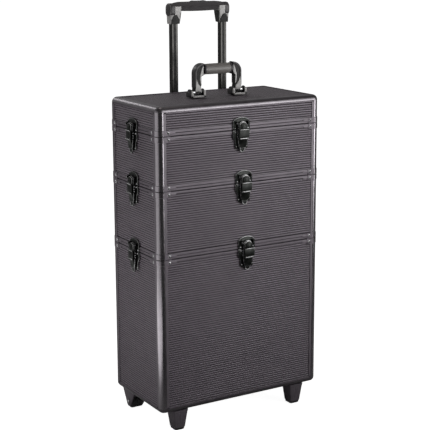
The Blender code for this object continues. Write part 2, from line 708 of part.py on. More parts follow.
def build_wheels(build, plastic, tyre, metal):
    top = GROUND_CLEARANCE - CLEARANCE
    inner, outer = WHEEL_X
    wheel_middle, wheel_width = (inner + outer) / 2, outer - inner
    cheek_out = wheel_width / 2 + CHEEK_GAP + CHEEK_THICK / 2
    span = 2 * cheek_out + CHEEK_THICK

    bridge_low, bridge_high = top - BRIDGE_THICK, top - CLEARANCE
    bridge_size = (span - CHEEK_THICK, 2 * (CHEEK_TOP_HALF - CHEEK_THICK), bridge_high - bridge_low)
    bridge = box(bridge_size, (0, 0, (bridge_high + bridge_low) / 2))
    cheeks = [
        plate(cheek_outline(), CHEEK_THICK, Matrix.Translation((s * cheek_out, 0, 0)) @ ALONG_X)
        for s in (-1, 1)
    ]
    housing = combined("UNION", bridge, *cheeks)
    bore = cylinder(AXLE_RADIUS + CLEARANCE, 2 * span, (0, 0, WHEEL_RADIUS), "X", 12)
    housing = combined("DIFFERENCE", housing, bore)

    round_off = WHEEL_ROUNDING
    half = wheel_width / 2
    profile = [(AXLE_RADIUS + CLEARANCE, half)]
    profile += arc((WHEEL_RADIUS - round_off, half - round_off), round_off, 90, 0, 3)
    profile += [(radius, -along) for radius, along in reversed(profile)]
    section = linked(turned_profile(profile))
    screw = section.modifiers.new("turn", "SCREW")
    screw.steps = screw.render_steps = 32
    screw.use_merge_vertices = True
    screw.merge_threshold = 1e-5
    wheel = mesh_of(section, "wheel")
    wheel.transform(Matrix.Rotation(math.pi / 2, 4, "Y"))

    head_x = span / 2 + CLEARANCE + AXLE_HEAD_THICK / 2
    shaft = cylinder(AXLE_RADIUS, 2 * head_x, (0, 0, 0), "X", 12)
    heads = [cylinder(AXLE_HEAD_RADIUS, AXLE_HEAD_THICK, (s * head_x, 0, 0), "X", 16) for s in (-1, 1)]
    axle = combined("UNION", shaft, *heads)

    for side, sign in SIDES:
        x = sign * wheel_middle
        build.add(f"wheel_housing_{side}", housing, plastic, origin=(x, WHEEL_Y, 0))
        build.add(f"wheel_{side}", wheel, tyre, origin=(x, WHEEL_Y, WHEEL_RADIUS))
        build.add(f"axle_{side}", axle, metal, origin=(x, WHEEL_Y, WHEEL_RADIUS))


# ---- The whole case -----------------------------------------------------------------------------


def main():
    for obj in list(bpy.data.objects):
        bpy.data.objects.remove(obj)

    black_abs = make_material("black_ribbed_abs", (0.085, 0.082, 0.088), 0.45)
    black_aluminium = make_material("black_aluminium", (0.10, 0.10, 0.105), 0.30, 0.9)
    black_steel = make_material("black_steel", (0.03, 0.03, 0.032), 0.30, 0.8)
    black_plastic = make_material("black_plastic", (0.04, 0.04, 0.042), 0.40)
    grey_plastic = make_material("grey_plastic", (0.25, 0.25, 0.26), 0.45)
    soft_grip = make_material("soft_grip", (0.10, 0.10, 0.10), 0.60)
    satin_aluminium = make_material("satin_aluminium", (0.55, 0.55, 0.57), 0.28, 1.0)
    bright_steel = make_material("bright_steel", (0.65, 0.65, 0.66), 0.25, 1.0)
    wheel_rubber = make_material("wheel_rubber", (0.03, 0.03, 0.03), 0.70)

    build = Builder()
    floors = (GROUND_CLEARANCE,) + tuple(seam + SEAM_GAP / 2 for seam in SEAMS)
    tops = tuple(seam - SEAM_GAP / 2 for seam in SEAMS) + (LID_TOP,)
    for section, low, high in zip(SECTIONS, floors, tops):
        build_frame(build, section, low, high, black_aluminium)
        build_panels(build, section, low, high, black_abs)
    build_latches(build, black_steel)
    build_carry_handle(build, black_plastic, soft_grip)
    build_tubes(build, {"inner": satin_aluminium, "middle": satin_aluminium, "outer": black_aluminium})
    build_tube_brackets(build, black_plastic)
    build_grip(build, black_plastic, grey_plastic, grey_plastic)
    build_feet(build, black_plastic)
    build_wheels(build, black_plastic, wheel_rubber, bright_steel)


main()
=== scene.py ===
"""Looks of the rolling make-up train case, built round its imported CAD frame.

Metres, +Z up, the front of the case towards -Y. Sizes of small details are written in millimetres, times MM.
"""

import json
import math

import bmesh
import bpy
from mathutils import Matrix, Vector


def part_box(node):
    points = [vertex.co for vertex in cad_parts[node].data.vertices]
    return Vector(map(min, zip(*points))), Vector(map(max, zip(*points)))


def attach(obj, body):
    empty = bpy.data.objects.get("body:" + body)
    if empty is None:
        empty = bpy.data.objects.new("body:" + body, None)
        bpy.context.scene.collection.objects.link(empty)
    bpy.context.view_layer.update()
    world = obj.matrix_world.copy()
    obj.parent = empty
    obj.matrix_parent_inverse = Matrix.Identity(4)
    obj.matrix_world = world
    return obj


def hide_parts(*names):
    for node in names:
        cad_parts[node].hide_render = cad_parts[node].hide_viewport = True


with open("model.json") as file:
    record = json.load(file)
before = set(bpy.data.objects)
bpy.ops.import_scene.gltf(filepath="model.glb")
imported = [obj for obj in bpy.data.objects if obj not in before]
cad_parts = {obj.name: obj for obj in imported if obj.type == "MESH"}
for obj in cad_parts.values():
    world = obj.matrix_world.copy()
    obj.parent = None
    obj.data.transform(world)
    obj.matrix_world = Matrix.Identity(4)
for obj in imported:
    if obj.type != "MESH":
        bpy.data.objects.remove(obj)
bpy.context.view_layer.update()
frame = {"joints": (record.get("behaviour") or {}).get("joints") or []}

MM = 0.001
SIDES = {"left": -1, "right": 1}

# ---- Sizes read from the frame ------------------------------------------------------------------

PANEL_INSET = 1.5 * MM
shell_low, shell_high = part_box("trunk_shell")
HALF_WIDTH = (shell_high.x - shell_low.x) / 2 + PANEL_INSET
HALF_DEPTH = (shell_high.y - shell_low.y) / 2 + PANEL_INSET
CASE_Y = (shell_high.y + shell_low.y) / 2
CASE_BOTTOM = shell_low.z - PANEL_INSET
LID_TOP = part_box("lid_frame")[1].z
SEAM_GAP = 0.6 * MM
SEAMS = {
    "lower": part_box("middle_frame")[0].z - SEAM_GAP / 2,
    "middle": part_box("top_frame")[0].z - SEAM_GAP / 2,
    "upper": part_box("lid_frame")[0].z - SEAM_GAP / 2,
}
CORNER_RADIUS = 12 * MM
TUBE_X = {side: sum(corner.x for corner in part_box(f"trolley_inner_tube_{side}")) / 2 for side in SIDES}
TUBE_Y = sum(corner.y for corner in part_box("trolley_inner_tube_left")) / 2
WHEEL_AXIS = {side: sum(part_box(f"wheel_{side}"), Vector()) / 2 for side in SIDES}
HANDLE_PIVOT = Vector(next(j for j in frame["joints"] if j["name"] == "carry_handle_swing")["pos_m"])

# Each section of the case: its body, and its lowest and highest point.
SECTIONS = {
    "trunk": ("base", CASE_BOTTOM, SEAMS["lower"] - SEAM_GAP / 2),
    "middle": ("middle_tier", SEAMS["lower"] + SEAM_GAP / 2, SEAMS["middle"] - SEAM_GAP / 2),
    "top": ("top_tier", SEAMS["middle"] + SEAM_GAP / 2, SEAMS["upper"] - SEAM_GAP / 2),
    "lid": ("lid", SEAMS["upper"] + SEAM_GAP / 2, LID_TOP),
}


# ---- Meshes -------------------------------------------------------------------------------------


def mm(*lengths):
    """Lengths in millimetres, as metres."""
    return tuple(length * MM for length in lengths)


def scaled(outline):
    """An outline or profile in millimetres, as metres."""
    return [mm(*point) for point in outline]


def arc(centre, radius, start_deg, end_deg, steps):
    """Points round a centre from one angle to another, both ends included."""
    turn = [math.radians(start_deg + (end_deg - start_deg) * i / steps) for i in range(steps + 1)]
    return [(centre[0] + radius * math.cos(a), centre[1] + radius * math.sin(a)) for a in turn]


def rounded_rectangle(width, depth, radius, steps, centre=(0.0, 0.0)):
    """Plan outline, anticlockwise, with steps to each corner."""
    points = []
    for x_sign, y_sign, start in ((1, 1, 0), (-1, 1, 90), (-1, -1, 180), (1, -1, 270)):
        middle = (centre[0] + x_sign * (width / 2 - radius), centre[1] + y_sign * (depth / 2 - radius))
        points += arc(middle, radius, start, start + 90, steps)
    return points


def plan_ring(outline, centre, z):
    """A plan outline moved to a centre and a height."""
    return [Vector((centre.x + x, centre.y + y, z)) for x, y in outline]


def case_ring(inset, z, steps=8):
    """Points round the case at height z, inset from its outer face."""
    radius = max(CORNER_RADIUS - inset, 0.5 * MM)
    width, depth = 2 * (HALF_WIDTH - inset), 2 * (HALF_DEPTH - inset)
    outline = rounded_rectangle(width, depth, radius, steps, (0.0, CASE_Y))
    return [Vector((x, y, z)) for x, y in outline]


def at(x, y, z):
    return Matrix.Translation((x, y, z))


def quarter(axis, turns=1):
    """Quarter turns about an axis."""
    return Matrix.Rotation(turns * math.pi / 2, 4, axis)


# For prism(): stands an outline up with its y along Z. Its x runs along X or Y, and the thickness is across.
FACING_FRONT = quarter("X")
FACING_RIGHT = Matrix(((0, 0, 1, 0), (1, 0, 0, 0), (0, 1, 0, 0), (0, 0, 0, 1)))
# A profile's point with a smaller radius than this is on the axis, in metres.
ON_AXIS = 1e-7
# Edges that turn by more than this stay sharp.
SHARP_DEG = 32


def box(node):
    """Lowest and highest corner of a CAD node at rest, and its middle."""
    low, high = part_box(node)
    return low, high, (low + high) / 2


def place(name, mesh, body, replaces=(), matrix=Matrix()):
    """Adds a piece that rides on a body and stands for the named CAD nodes."""
    piece = bpy.data.objects.new(name, mesh)
    bpy.context.scene.collection.objects.link(piece)
    piece.matrix_world = matrix
    bpy.context.view_layer.update()
    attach(piece, body)
    if replaces:
        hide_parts(*replaces)


class Shape:
    """Gathers closed solids into one mesh. A solid without a material of its own gets the shape's."""

    def __init__(self, material):
        self.bm = bmesh.new()
        self.materials = [material]

    def number(self, material):
        """The slot of a material in this mesh, added if it is new."""
        if material not in self.materials:
            self.materials.append(material)
        return self.materials.index(material)

    def take(self, bm, material, placing, edge=None):
        """Adds a solid. Faces marked 1, such as a bevel's, get the edge material if there is one."""
        main = self.number(material or self.materials[0])
        marked = self.number(edge) if edge else main
        for face in bm.faces:
            face.material_index = marked if face.material_index else main
        bmesh.ops.transform(bm, matrix=placing, verts=bm.verts)
        bmesh.ops.recalc_face_normals(bm, faces=bm.faces)
        mesh = bpy.data.meshes.new("solid")
        bm.to_mesh(mesh)
        bm.free()
        self.bm.from_mesh(mesh)
        bpy.data.meshes.remove(mesh)

    def loft(self, rings, material=None, looped=False, placing=Matrix(), edge=None, marked=None):
        """Skins rings of equally many points. The ends are capped, or joined to each other if looped.

        Faces for which marked(ring, point) is true get the edge material.
        """
        bm = bmesh.new()
        rows = [[bm.verts.new(point) for point in ring] for ring in rings]
        pairs = list(zip(rows, rows[1:]))
        if looped:
            pairs.append((rows[-1], rows[0]))
        else:
            bm.faces.new(rows[0])
            bm.faces.new(rows[-1])
        count = len(rows[0])
        for ring, (first, second) in enumerate(pairs):
            for i in range(count):
                j = (i + 1) % count
                face = bm.faces.new((first[i], first[j], second[j], second[i]))
                face.material_index = 1 if marked and marked(ring, i) else 0
        self.take(bm, material, placing, edge)

    def prism(self, outline, thickness, placing, bevel=0.0, segments=2, material=None, edge=None):
        """A flat (x, y) outline thickened about its plane."""
        bm = bmesh.new()
        low = [bm.verts.new((x, y, -thickness / 2)) for x, y in outline]
        high = [bm.verts.new((x, y, thickness / 2)) for x, y in outline]
        bm.faces.new(low)
        bm.faces.new(high)
        rims = []
        for i in range(len(outline)):
            j = (i + 1) % len(outline)
            bm.faces.new((low[i], low[j], high[j], high[i]))
            rims += [bm.edges.get((low[i], low[j])), bm.edges.get((high[i], high[j]))]
        if bevel:
            bmesh.ops.recalc_face_normals(bm, faces=bm.faces)
            bmesh.ops.bevel(
                bm, geom=rims, offset=bevel, segments=segments, affect="EDGES", profile=0.5,
                clamp_overlap=True, material=1,
            )  # fmt: skip
        self.take(bm, material, placing, edge)

    def block(self, size, centre, bevel=0.0, segments=2, material=None, placing=Matrix()):
        bm = bmesh.new()
        bmesh.ops.create_cube(bm, size=1.0)
        bmesh.ops.scale(bm, vec=size, verts=bm.verts)
        bmesh.ops.translate(bm, vec=centre, verts=bm.verts)
        if bevel:
            bmesh.ops.bevel(
                bm, geom=bm.edges[:], offset=bevel, segments=segments, affect="EDGES", profile=0.5
            )
        self.take(bm, material, placing)

    def turned(self, profile, placing, steps=24, material=None):
        """A profile of (radius, height) points turned about Z, closed where its ends are on the axis."""
        bm = bmesh.new()
        rings = []
        for radius, height in profile:
            if radius < ON_AXIS:
                rings.append([bm.verts.new((0, 0, height))])
                continue
            turn = [2 * math.pi * i / steps for i in range(steps)]
            rings.append([bm.verts.new((radius * math.cos(a), radius * math.sin(a), height)) for a in turn])
        pairs = list(zip(rings, rings[1:]))
        if len(rings[0]) > 1:
            pairs.append((rings[-1], rings[0]))
        for first, second in pairs:
            for i in range(steps):
                j = (i + 1) % steps
                loop = ((first, i), (first, j), (second, j), (second, i))
                corners = [ring[k % len(ring)] for ring, k in loop]
                bm.faces.new(list(dict.fromkeys(corners)))
        self.take(bm, material, placing)

    def mesh(self, name):
        mesh = bpy.data.meshes.new(name)
        self.bm.to_mesh(mesh)
        self.bm.free()
        mesh.shade_smooth()
        mesh.set_sharp_from_angle(angle=math.radians(SHARP_DEG))
        for material in self.materials:
            mesh.materials.append(material)
        return mesh

    def place(self, name, body, slot, *replaces):
        """Makes the mesh and adds it as a piece of the same name."""
        place(name, self.mesh(name), body, replaces)


# ---- Materials ----------------------------------------------------------------------------------


class Paint:
    """A Principled material, with helpers for the procedural detail that most of them share."""

    def __init__(self, name, roughness=0.4, metallic=0.0, specular=0.5):
        self.material = bpy.data.materials.new(name)
        self.material.use_nodes = True
        self.nodes = self.material.node_tree.nodes
        self.links = self.material.node_tree.links
        self.shader = self.nodes["Principled BSDF"]
        self.shader.inputs["Roughness"].default_value = roughness
        self.shader.inputs["Metallic"].default_value = metallic
        self.shader.inputs["Specular IOR Level"].default_value = specular
        self.place = self.nodes.new("ShaderNodeTexCoord").outputs["Object"]

    def noise(self, scale, detail=4.0, stretch=(1.0, 1.0, 1.0)):
        """Noise with features about 1 / scale metres across, longer along axes whose stretch is under 1."""
        mapping = self.nodes.new("ShaderNodeMapping")
        mapping.inputs["Scale"].default_value = stretch
        self.links.new(self.place, mapping.inputs["Vector"])
        texture = self.nodes.new("ShaderNodeTexNoise")
        texture.inputs["Scale"].default_value = scale
        texture.inputs["Detail"].default_value = detail
        self.links.new(mapping.outputs["Vector"], texture.inputs["Vector"])
        return texture.outputs["Fac"]

    def vary(self, socket, value, low, high, span=(0.3, 0.7)):
        """Drives a socket from low to high, each a grey or a colour, as value crosses the span."""
        ramp = self.nodes.new("ShaderNodeValToRGB")
        self.links.new(value, ramp.inputs["Fac"])
        for element, position, shade in zip(ramp.color_ramp.elements, span, (low, high)):
            element.position = position
            element.color = (*((shade,) * 3 if isinstance(shade, float) else shade), 1.0)
        self.links.new(ramp.outputs["Color"], self.shader.inputs[socket])

    def bump(self, value, depth_mm, strength):
        bump = self.nodes.new("ShaderNodeBump")
        bump.inputs["Strength"].default_value = strength
        bump.inputs["Distance"].default_value = depth_mm * MM
        self.links.new(value, bump.inputs["Height"])
        self.links.new(bump.outputs["Normal"], self.shader.inputs["Normal"])


def material(name, colour, roughness, bump=None, metallic=0.0, specular=0.5):
    """A material from two or three noises.

    colour and roughness are (what noise() takes, low, high) and may end with a span. bump is
    (what noise() takes, depth in millimetres, strength).
    """
    paint = Paint(name, metallic=metallic, specular=specular)
    for socket, (noise, *levels) in (("Base Color", colour), ("Roughness", roughness)):
        paint.vary(socket, paint.noise(*noise), *levels)
    if bump:
        noise, depth_mm, strength = bump
        paint.bump(paint.noise(*noise), depth_mm, strength)
    return paint.material


# Dark plum-grey moulded sheet: a fine hair-cell grain over faint mottling.
ABS = material(
    "ribbed_abs",
    colour=((35.0,), (0.108, 0.089, 0.108), (0.128, 0.106, 0.128)),
    roughness=((180.0,), 0.38, 0.48),
    bump=((2600.0, 2.0), 0.03, 0.5),
)
# The same sheet down between the ribs, matt and darker: painted shade in the rib valleys and in the rims'
# grooves and chamfers.
VALLEY_SHADE = material(
    "rib_valley_shade",
    colour=((60.0,), (0.026, 0.021, 0.026), (0.040, 0.033, 0.040)),
    roughness=((180.0,), 0.6, 0.8),
    specular=0.2,
)
# Dark anodised extrusion with fine drawing lines along its length.
FRAME = material(
    "frame_metal",
    colour=((60.0, 5.0), (0.090, 0.075, 0.090), (0.110, 0.092, 0.110)),
    roughness=((240.0, 3.0, (0.08, 0.08, 1.0)), 0.42, 0.52),
    bump=((2200.0, 2.0, (0.03, 0.03, 1.0)), 0.02, 0.3),
    metallic=0.25,
)
# The same extrusion stood upright, so that its drawing lines run along Z.
POST = material(
    "post_metal",
    colour=((60.0, 5.0), (0.096, 0.082, 0.096), (0.116, 0.099, 0.116)),
    roughness=((240.0, 3.0, (1.0, 1.0, 0.08)), 0.42, 0.50),
    bump=((2200.0, 2.0, (1.0, 1.0, 0.03)), 0.02, 0.3),
    metallic=0.25,
)
# The rounded corners of the posts, polished by handling.
BEAD = material(
    "bead_metal",
    colour=((60.0, 5.0), (0.245, 0.228, 0.245), (0.280, 0.260, 0.280)),
    roughness=((240.0, 3.0, (1.0, 1.0, 0.08)), 0.22, 0.27),
    metallic=0.95,
)
# The rolled edges round the top and bottom, duller than the corners.
EDGE = material(
    "edge_metal",
    colour=((60.0, 5.0), (0.135, 0.125, 0.135), (0.165, 0.153, 0.165)),
    roughness=((240.0, 3.0, (1.0, 1.0, 0.08)), 0.33, 0.40),
    metallic=0.95,
)
# Black nickel plating, a little thinner where hands rub it.
LATCH = material(
    "latch_black",
    colour=((90.0, 6.0), (0.008, 0.009, 0.008), (0.022, 0.024, 0.022), (0.42, 0.72)),
    roughness=((400.0, 4.0), 0.28, 0.42),
    bump=((900.0, 3.0), 0.03, 0.3),
    metallic=0.6,
    specular=0.25,
)
# The same plating, lighter: a painted highlight on bevels, bars and rims, where edges catch the light.
HIGHLIGHT_NICKEL = material(
    "nickel_painted_highlight",
    colour=((260.0, 5.0), 0.18, 0.32),
    roughness=((400.0, 4.0), 0.20, 0.34),
    metallic=1.0,
)
# Blackened steel of the small rivets.
RIVET = material(
    "rivet_steel",
    colour=((500.0,), (0.100, 0.097, 0.100), (0.180, 0.175, 0.180)),
    roughness=((700.0,), 0.22, 0.36),
    metallic=1.0,
)
# Plated steel of the axle bolts and latch pins.
BRIGHT = material(
    "bright_steel",
    colour=((500.0,), (0.42, 0.42, 0.43), (0.60, 0.60, 0.61)),
    roughness=((700.0,), 0.18, 0.34),
    metallic=1.0,
)
# Injection-moulded plastic with a light spark-eroded grain: black, then plum-grey for feet and forks.
MOULDED = {"roughness": ((260.0,), 0.34, 0.46), "bump": ((1800.0, 2.0), 0.04, 0.4)}
PLASTIC = material(
    "black_plastic",
    colour=((70.0,), (0.041, 0.038, 0.040), (0.054, 0.050, 0.053)),
    specular=0.28,
    **MOULDED,
)
FOOT = material(
    "foot_plastic",
    colour=((70.0,), (0.080, 0.068, 0.080), (0.100, 0.086, 0.100)),
    specular=0.4,
    **MOULDED,
)
# Light grey plastic of the handle's facings.
GREY = material(
    "grey_plastic",
    colour=((80.0,), (0.31, 0.302, 0.295), (0.38, 0.37, 0.362)),
    roughness=((300.0,), 0.36, 0.5),
    bump=((1500.0, 2.0), 0.05, 0.4),
)
# Smooth rubbery sleeve with a faint grain.
GRIP = material(
    "soft_grip",
    colour=((110.0,), (0.128, 0.119, 0.113), (0.152, 0.142, 0.135)),
    roughness=((500.0,), 0.42, 0.52),
    bump=((1400.0, 3.0), 0.04, 0.5),
)
# Satin aluminium tube with drawing lines along Z.
SATIN = material(
    "satin_tube",
    colour=((60.0, 4.0), (0.028, 0.027, 0.026), (0.041, 0.040, 0.038)),
    roughness=((300.0, 3.0, (1.0, 1.0, 0.05)), 0.24, 0.34),
    bump=((2000.0, 2.0, (1.0, 1.0, 0.02)), 0.02, 0.4),
    metallic=1.0,
)
# The outer stages: the same tube, anodised.
DARK_TUBE = material(
    "dark_tube",
    colour=((60.0, 4.0), 0.10, 0.14),
    roughness=((300.0, 3.0, (1.0, 1.0, 0.05)), 0.28, 0.4),
    metallic=1.0,
)
# Black flocked lining inside the sections.
LINING = material(
    "lining",
    colour=((900.0, 2.0), (0.012, 0.012, 0.013), (0.022, 0.022, 0.024)),
    roughness=((300.0,), 0.85, 0.95),
    bump=((2400.0, 2.0), 0.15, 0.8),
    specular=0.2,
)
RUBBER = material(
    "wheel_rubber",
    colour=((150.0,), (0.018, 0.018, 0.018), (0.032, 0.031, 0.030)),
    roughness=((500.0,), 0.6, 0.8),
    bump=((1200.0,), 0.08, 0.5),
    specular=0.3,
)


# ---- Ribbed panels ------------------------------------------------------------------------------

RIB_PITCH = 4.4 * MM
RIB_DEPTH = 1.15 * MM
TOP_RIB_DEPTH = 1.1 * MM
# The places in a rib's pitch where it is sampled, and which steps between them are down in the valley.
RIB_SHAPE = (0.0, 0.15, 0.28, 0.5, 0.72, 0.85)
VALLEY_STEPS = (0, 1)
CREST_INSET = 1.30 * MM
SHEET = 1.6 * MM
SHEET_BACK = CREST_INSET + RIB_DEPTH + SHEET
FLOOR_ABOVE_SEAM = 6 * MM
LINING_WALL = 2.0 * MM
SHEET_CORNER_STEPS = 4


def rib_height(t):
    """Height of a rib, 0 at its valleys and 1 at its crest, at a share t of its pitch."""
    return math.sin(math.pi * t) ** 0.75


def ribbed_line(start, end, rib_depth=RIB_DEPTH):
    """(place, inset) points of a ribbed surface between two places, with whole ribs centred between them."""
    count = int((end - start) / RIB_PITCH)
    spare = (end - start - count * RIB_PITCH) / 2
    valley = CREST_INSET + rib_depth
    line = [(start, valley)]
    for rib in range(count):
        for t in RIB_SHAPE:
            line.append((start + spare + (rib + t) * RIB_PITCH, valley - rib_depth * rib_height(t)))
    line.append((end, valley))
    return line


def in_valley(step, line):
    """Whether the step from one point of a ribbed line to the next is in a valley."""
    return step < len(line) - 1 and step % len(RIB_SHAPE) in VALLEY_STEPS


def side_sheet(shape, low, high):
    """The ribbed sheet round the four sides."""
    line = ribbed_line(low, high)
    profile = [(inset, z) for z, inset in line] + [(SHEET_BACK, high), (SHEET_BACK, low)]
    rings = [case_ring(inset, z, SHEET_CORNER_STEPS) for inset, z in profile]
    # Faces down in the valleys get painted shade.
    shape.loft(rings, looped=True, edge=VALLEY_SHADE, marked=lambda ring, point: in_valley(ring, line))


def top_sheet(shape):
    """The lid's top sheet, with ribs from front to back."""
    reach = HALF_WIDTH - 6 * MM
    half = HALF_DEPTH - 6 * MM
    line = ribbed_line(-reach, reach, TOP_RIB_DEPTH)
    under = LID_TOP - SHEET_BACK
    section = [(x, LID_TOP - inset) for x, inset in line] + [(reach, under), (-reach, under)]
    rings = [[Vector((x, CASE_Y + y, z)) for x, z in section] for y in (-half, half)]
    # Faces down in the valleys get painted shade.
    shape.loft(rings, edge=VALLEY_SHADE, marked=lambda ring, point: in_valley(point, line))


def inner_tray(shape, low, high, upside_down):
    """The lining: a tray with rounded lower edges."""
    inner = SHEET_BACK + LINING_WALL
    bend = 6 * MM
    middle = 30 * MM
    profile = [(middle, 0.0), (SHEET_BACK, 0.0), (SHEET_BACK, high - low), (inner, high - low)]
    for a in (math.pi / 2, 1.2, 0.8, 0.4, 0.0):
        profile.append((inner + bend * (1 - math.sin(a)), LINING_WALL + bend * (1 - math.cos(a))))
    profile.append((middle, LINING_WALL))
    floor, up = (high, -1) if upside_down else (low, 1)
    rings = [case_ring(inset, floor + up * rise, SHEET_CORNER_STEPS) for inset, rise in profile]
    shape.loft(rings, LINING)


def build_panels():
    # How far the sheet stops short of a section's ends, under the rims and under the edges, and how far
    # the lining stops short of the mouth and of the top.
    at_foot, at_mouth, at_edge = 3 * MM, 2.2 * MM, 8 * MM
    lining_at_mouth, lining_at_top = 2.4 * MM, PANEL_INSET + 3.2 * MM
    for section, (body, low, high) in SECTIONS.items():
        shape = Shape(ABS)
        if section == "lid":
            side_sheet(shape, low + at_foot, high - at_edge)
            top_sheet(shape)
            inner_tray(shape, low + FLOOR_ABOVE_SEAM, high - lining_at_top, upside_down=True)
        else:
            bottom = low + (at_edge if section == "trunk" else at_foot)
            floor = low + (PANEL_INSET if section == "trunk" else FLOOR_ABOVE_SEAM)
            side_sheet(shape, bottom, high - at_mouth)
            inner_tray(shape, floor, high - lining_at_mouth, upside_down=False)
        shape.place(f"{section}_panels", body, "black_ribbed_abs", f"{section}_shell")


# ---- Edge frames --------------------------------------------------------------------------------

FLANGE = 18.0
POST_THICKNESS = 1.3
LIP_INSET, FLAT_INSET, GROOVE_INSET = 0.75, 0.35, 0.95
RIM_INSET = 0.5
TOP_BEND = 10.0
BOTTOM_BEND = 9.0
# Steps of edge_profile() that are on its bend, and steps of the rims that are in a groove or chamfer, which
# get painted shade.
BEND_STEPS = range(6, 16)
LOWER_RIM_GROOVES = (0, 1, 3, 4, 6, 7)
UPPER_RIM_GROOVES = (0, 1, 3, 4)
RADIUS = CORNER_RADIUS / MM
# Length of the bend on each side of its diagonal, and how far a bracket goes from the sharp corner.
HALF_BEND = math.pi / 4 * RADIUS
BRACKET_REACH = 26
CORNERS = [(x_sign, y_sign) for x_sign in (-1, 1) for y_sign in (-1, 1)]


def from_corner(x_sign, y_sign, u, v):
    """Plan position of a point u and v millimetres inside one of the case's four sharp corners."""
    return x_sign * (HALF_WIDTH - u * MM), CASE_Y + y_sign * (HALF_DEPTH - v * MM)


def post_outlines():
    """Plan of a corner post, with its materials: two grooved flanges and a round bead.

    In millimetres from the case's sharp corner.
    """
    flange = [(FLANGE, POST_THICKNESS), (FLANGE, LIP_INSET), (FLANGE - 0.4, FLAT_INSET)]
    flange += [(RADIUS + 0.9, FLAT_INSET), (RADIUS + 0.6, GROOVE_INSET), (RADIUS + 0.1, GROOVE_INSET)]
    flange.append((RADIUS + 0.1, POST_THICKNESS))
    bead = [(RADIUS, POST_THICKNESS), (RADIUS + 0.05, GROOVE_INSET), (RADIUS - 0.1, 0.02)]
    bead += arc((RADIUS, RADIUS), RADIUS, 267, 183, 12)
    bead += [(0.02, RADIUS - 0.1), (GROOVE_INSET, RADIUS + 0.05), (POST_THICKNESS, RADIUS)]
    bead += arc((RADIUS, RADIUS), RADIUS - POST_THICKNESS, 187, 263, 8)
    return (POST, flange), (POST, [(v, u) for u, v in flange]), (BEAD, bead)


def corner_posts(shape, low, high):
    for corner in CORNERS:
        for metal, outline in post_outlines():
            points = [from_corner(*corner, u, v) for u, v in outline]
            shape.prism(points, high - low, at(0, 0, (low + high) / 2), 0.2 * MM, 1, metal)


def swept(shape, profile, finish, steps):
    """Carries a closed (inset, height) profile round the case, with another finish on some of its steps."""
    rings = [case_ring(inset * MM, z) for inset, z in profile]
    shape.loft(rings, looped=True, edge=finish, marked=lambda ring, point: ring in steps)


def lower_rim(shape, low):
    """The rim at the foot of a tier or of the lid, with its engraved line."""
    groove = RIM_INSET + 0.9
    profile = [(3.8, 0), (groove, 0), (RIM_INSET, 0.9), (RIM_INSET, 4.8), (groove, 5.5), (RIM_INSET, 6.2)]
    profile += [(RIM_INSET, 10.8), (RIM_INSET + 0.6, 11.5), (1.6, 11.5), (1.6, 1.5), (3.8, 1.5)]
    heights = [(inset, low + height * MM) for inset, height in profile]
    swept(shape, heights, VALLEY_SHADE, LOWER_RIM_GROOVES)


def upper_rim(shape, high):
    """The rim at the mouth of a section, with the tongue that locates the one above."""
    profile = [(1.6, -5.5), (RIM_INSET + 0.6, -5.5), (RIM_INSET, -4.8), (RIM_INSET, -0.9)]
    profile += [(RIM_INSET + 0.9, 0), (4.6, 0), (4.6, 3.2), (5.0, 3.5), (5.6, 3.5), (6.0, 3.2)]
    profile += [(6.0, -1.5), (1.6, -1.5)]
    heights = [(inset, high + height * MM) for inset, height in profile]
    swept(shape, heights, VALLEY_SHADE, UPPER_RIM_GROOVES)


def edge_profile(bend, flange, direction, end):
    """A rounded edge of the case: flange on the sides, groove, bend, and flange across the top or bottom."""

    def around(radius, degrees):
        turn = [math.radians(degree) for degree in degrees]
        return [(bend - radius * math.cos(a), -bend + radius * math.sin(a)) for a in turn]

    profile = [(POST_THICKNESS, -flange), (LIP_INSET, -flange), (FLAT_INSET, -flange + 0.4)]
    profile += [(FLAT_INSET, -bend - 0.9), (GROOVE_INSET, -bend - 0.6), (GROOVE_INSET, -bend - 0.1)]
    profile += [(0.02, -bend + 0.1)] + around(bend, range(8, 91, 9))
    profile += [(11.3, 0.0), (11.5, -0.3), (11.5, -POST_THICKNESS)]
    profile += around(bend - POST_THICKNESS, range(88, -1, -11))
    return [(inset, end + direction * height * MM) for inset, height in profile]


def round_corner(distance, proud):
    """Point at a distance in millimetres from a corner's diagonal, measured round the bend."""
    if abs(distance) <= HALF_BEND:
        a = math.pi / 4 - distance / RADIUS
        return RADIUS - (RADIUS + proud) * math.sin(a), RADIUS - (RADIUS + proud) * math.cos(a)
    straight = abs(distance) - HALF_BEND + RADIUS
    return (straight, -proud) if distance > 0 else (-proud, straight)


def corner_strip(shape, corner, start, end, proud, low, high, steps):
    """A strip bent round a corner, with chamfered edges."""
    edge = proud - 0.35
    chamfer = 0.5 * MM
    section = [(edge, low), (proud, low + chamfer), (proud, high - chamfer)]
    section += [(edge, high), (-0.9, high), (-0.9, low)]
    rings = []
    for i in range(steps + 1):
        distance = start + (end - start) * i / steps
        ring = []
        for depth, z in section:
            if i in (0, steps) and depth == proud:
                depth = edge
            ring.append(Vector((*from_corner(*corner, *round_corner(distance, depth)), z)))
        rings.append(ring)

    def on_bend(ring, point):
        return abs(start + (end - start) * (ring + 0.5) / steps) < HALF_BEND

    shape.loft(rings, edge=BEAD, marked=on_bend)


def corner_bracket(shape, corner, low, high):
    """Bent plate over a corner, with a short second plate on each ear."""
    reach = BRACKET_REACH - RADIUS + HALF_BEND
    corner_strip(shape, corner, -reach, reach, 0.8, low, high, 16)
    middle, half = (low + high) / 2, 5.5 * MM / 2
    for sign in (-1, 1):
        ear = (sign * (reach + 0.3), sign * (reach + 11))
        corner_strip(shape, corner, *ear, 0.25, middle - half, middle + half, 2)


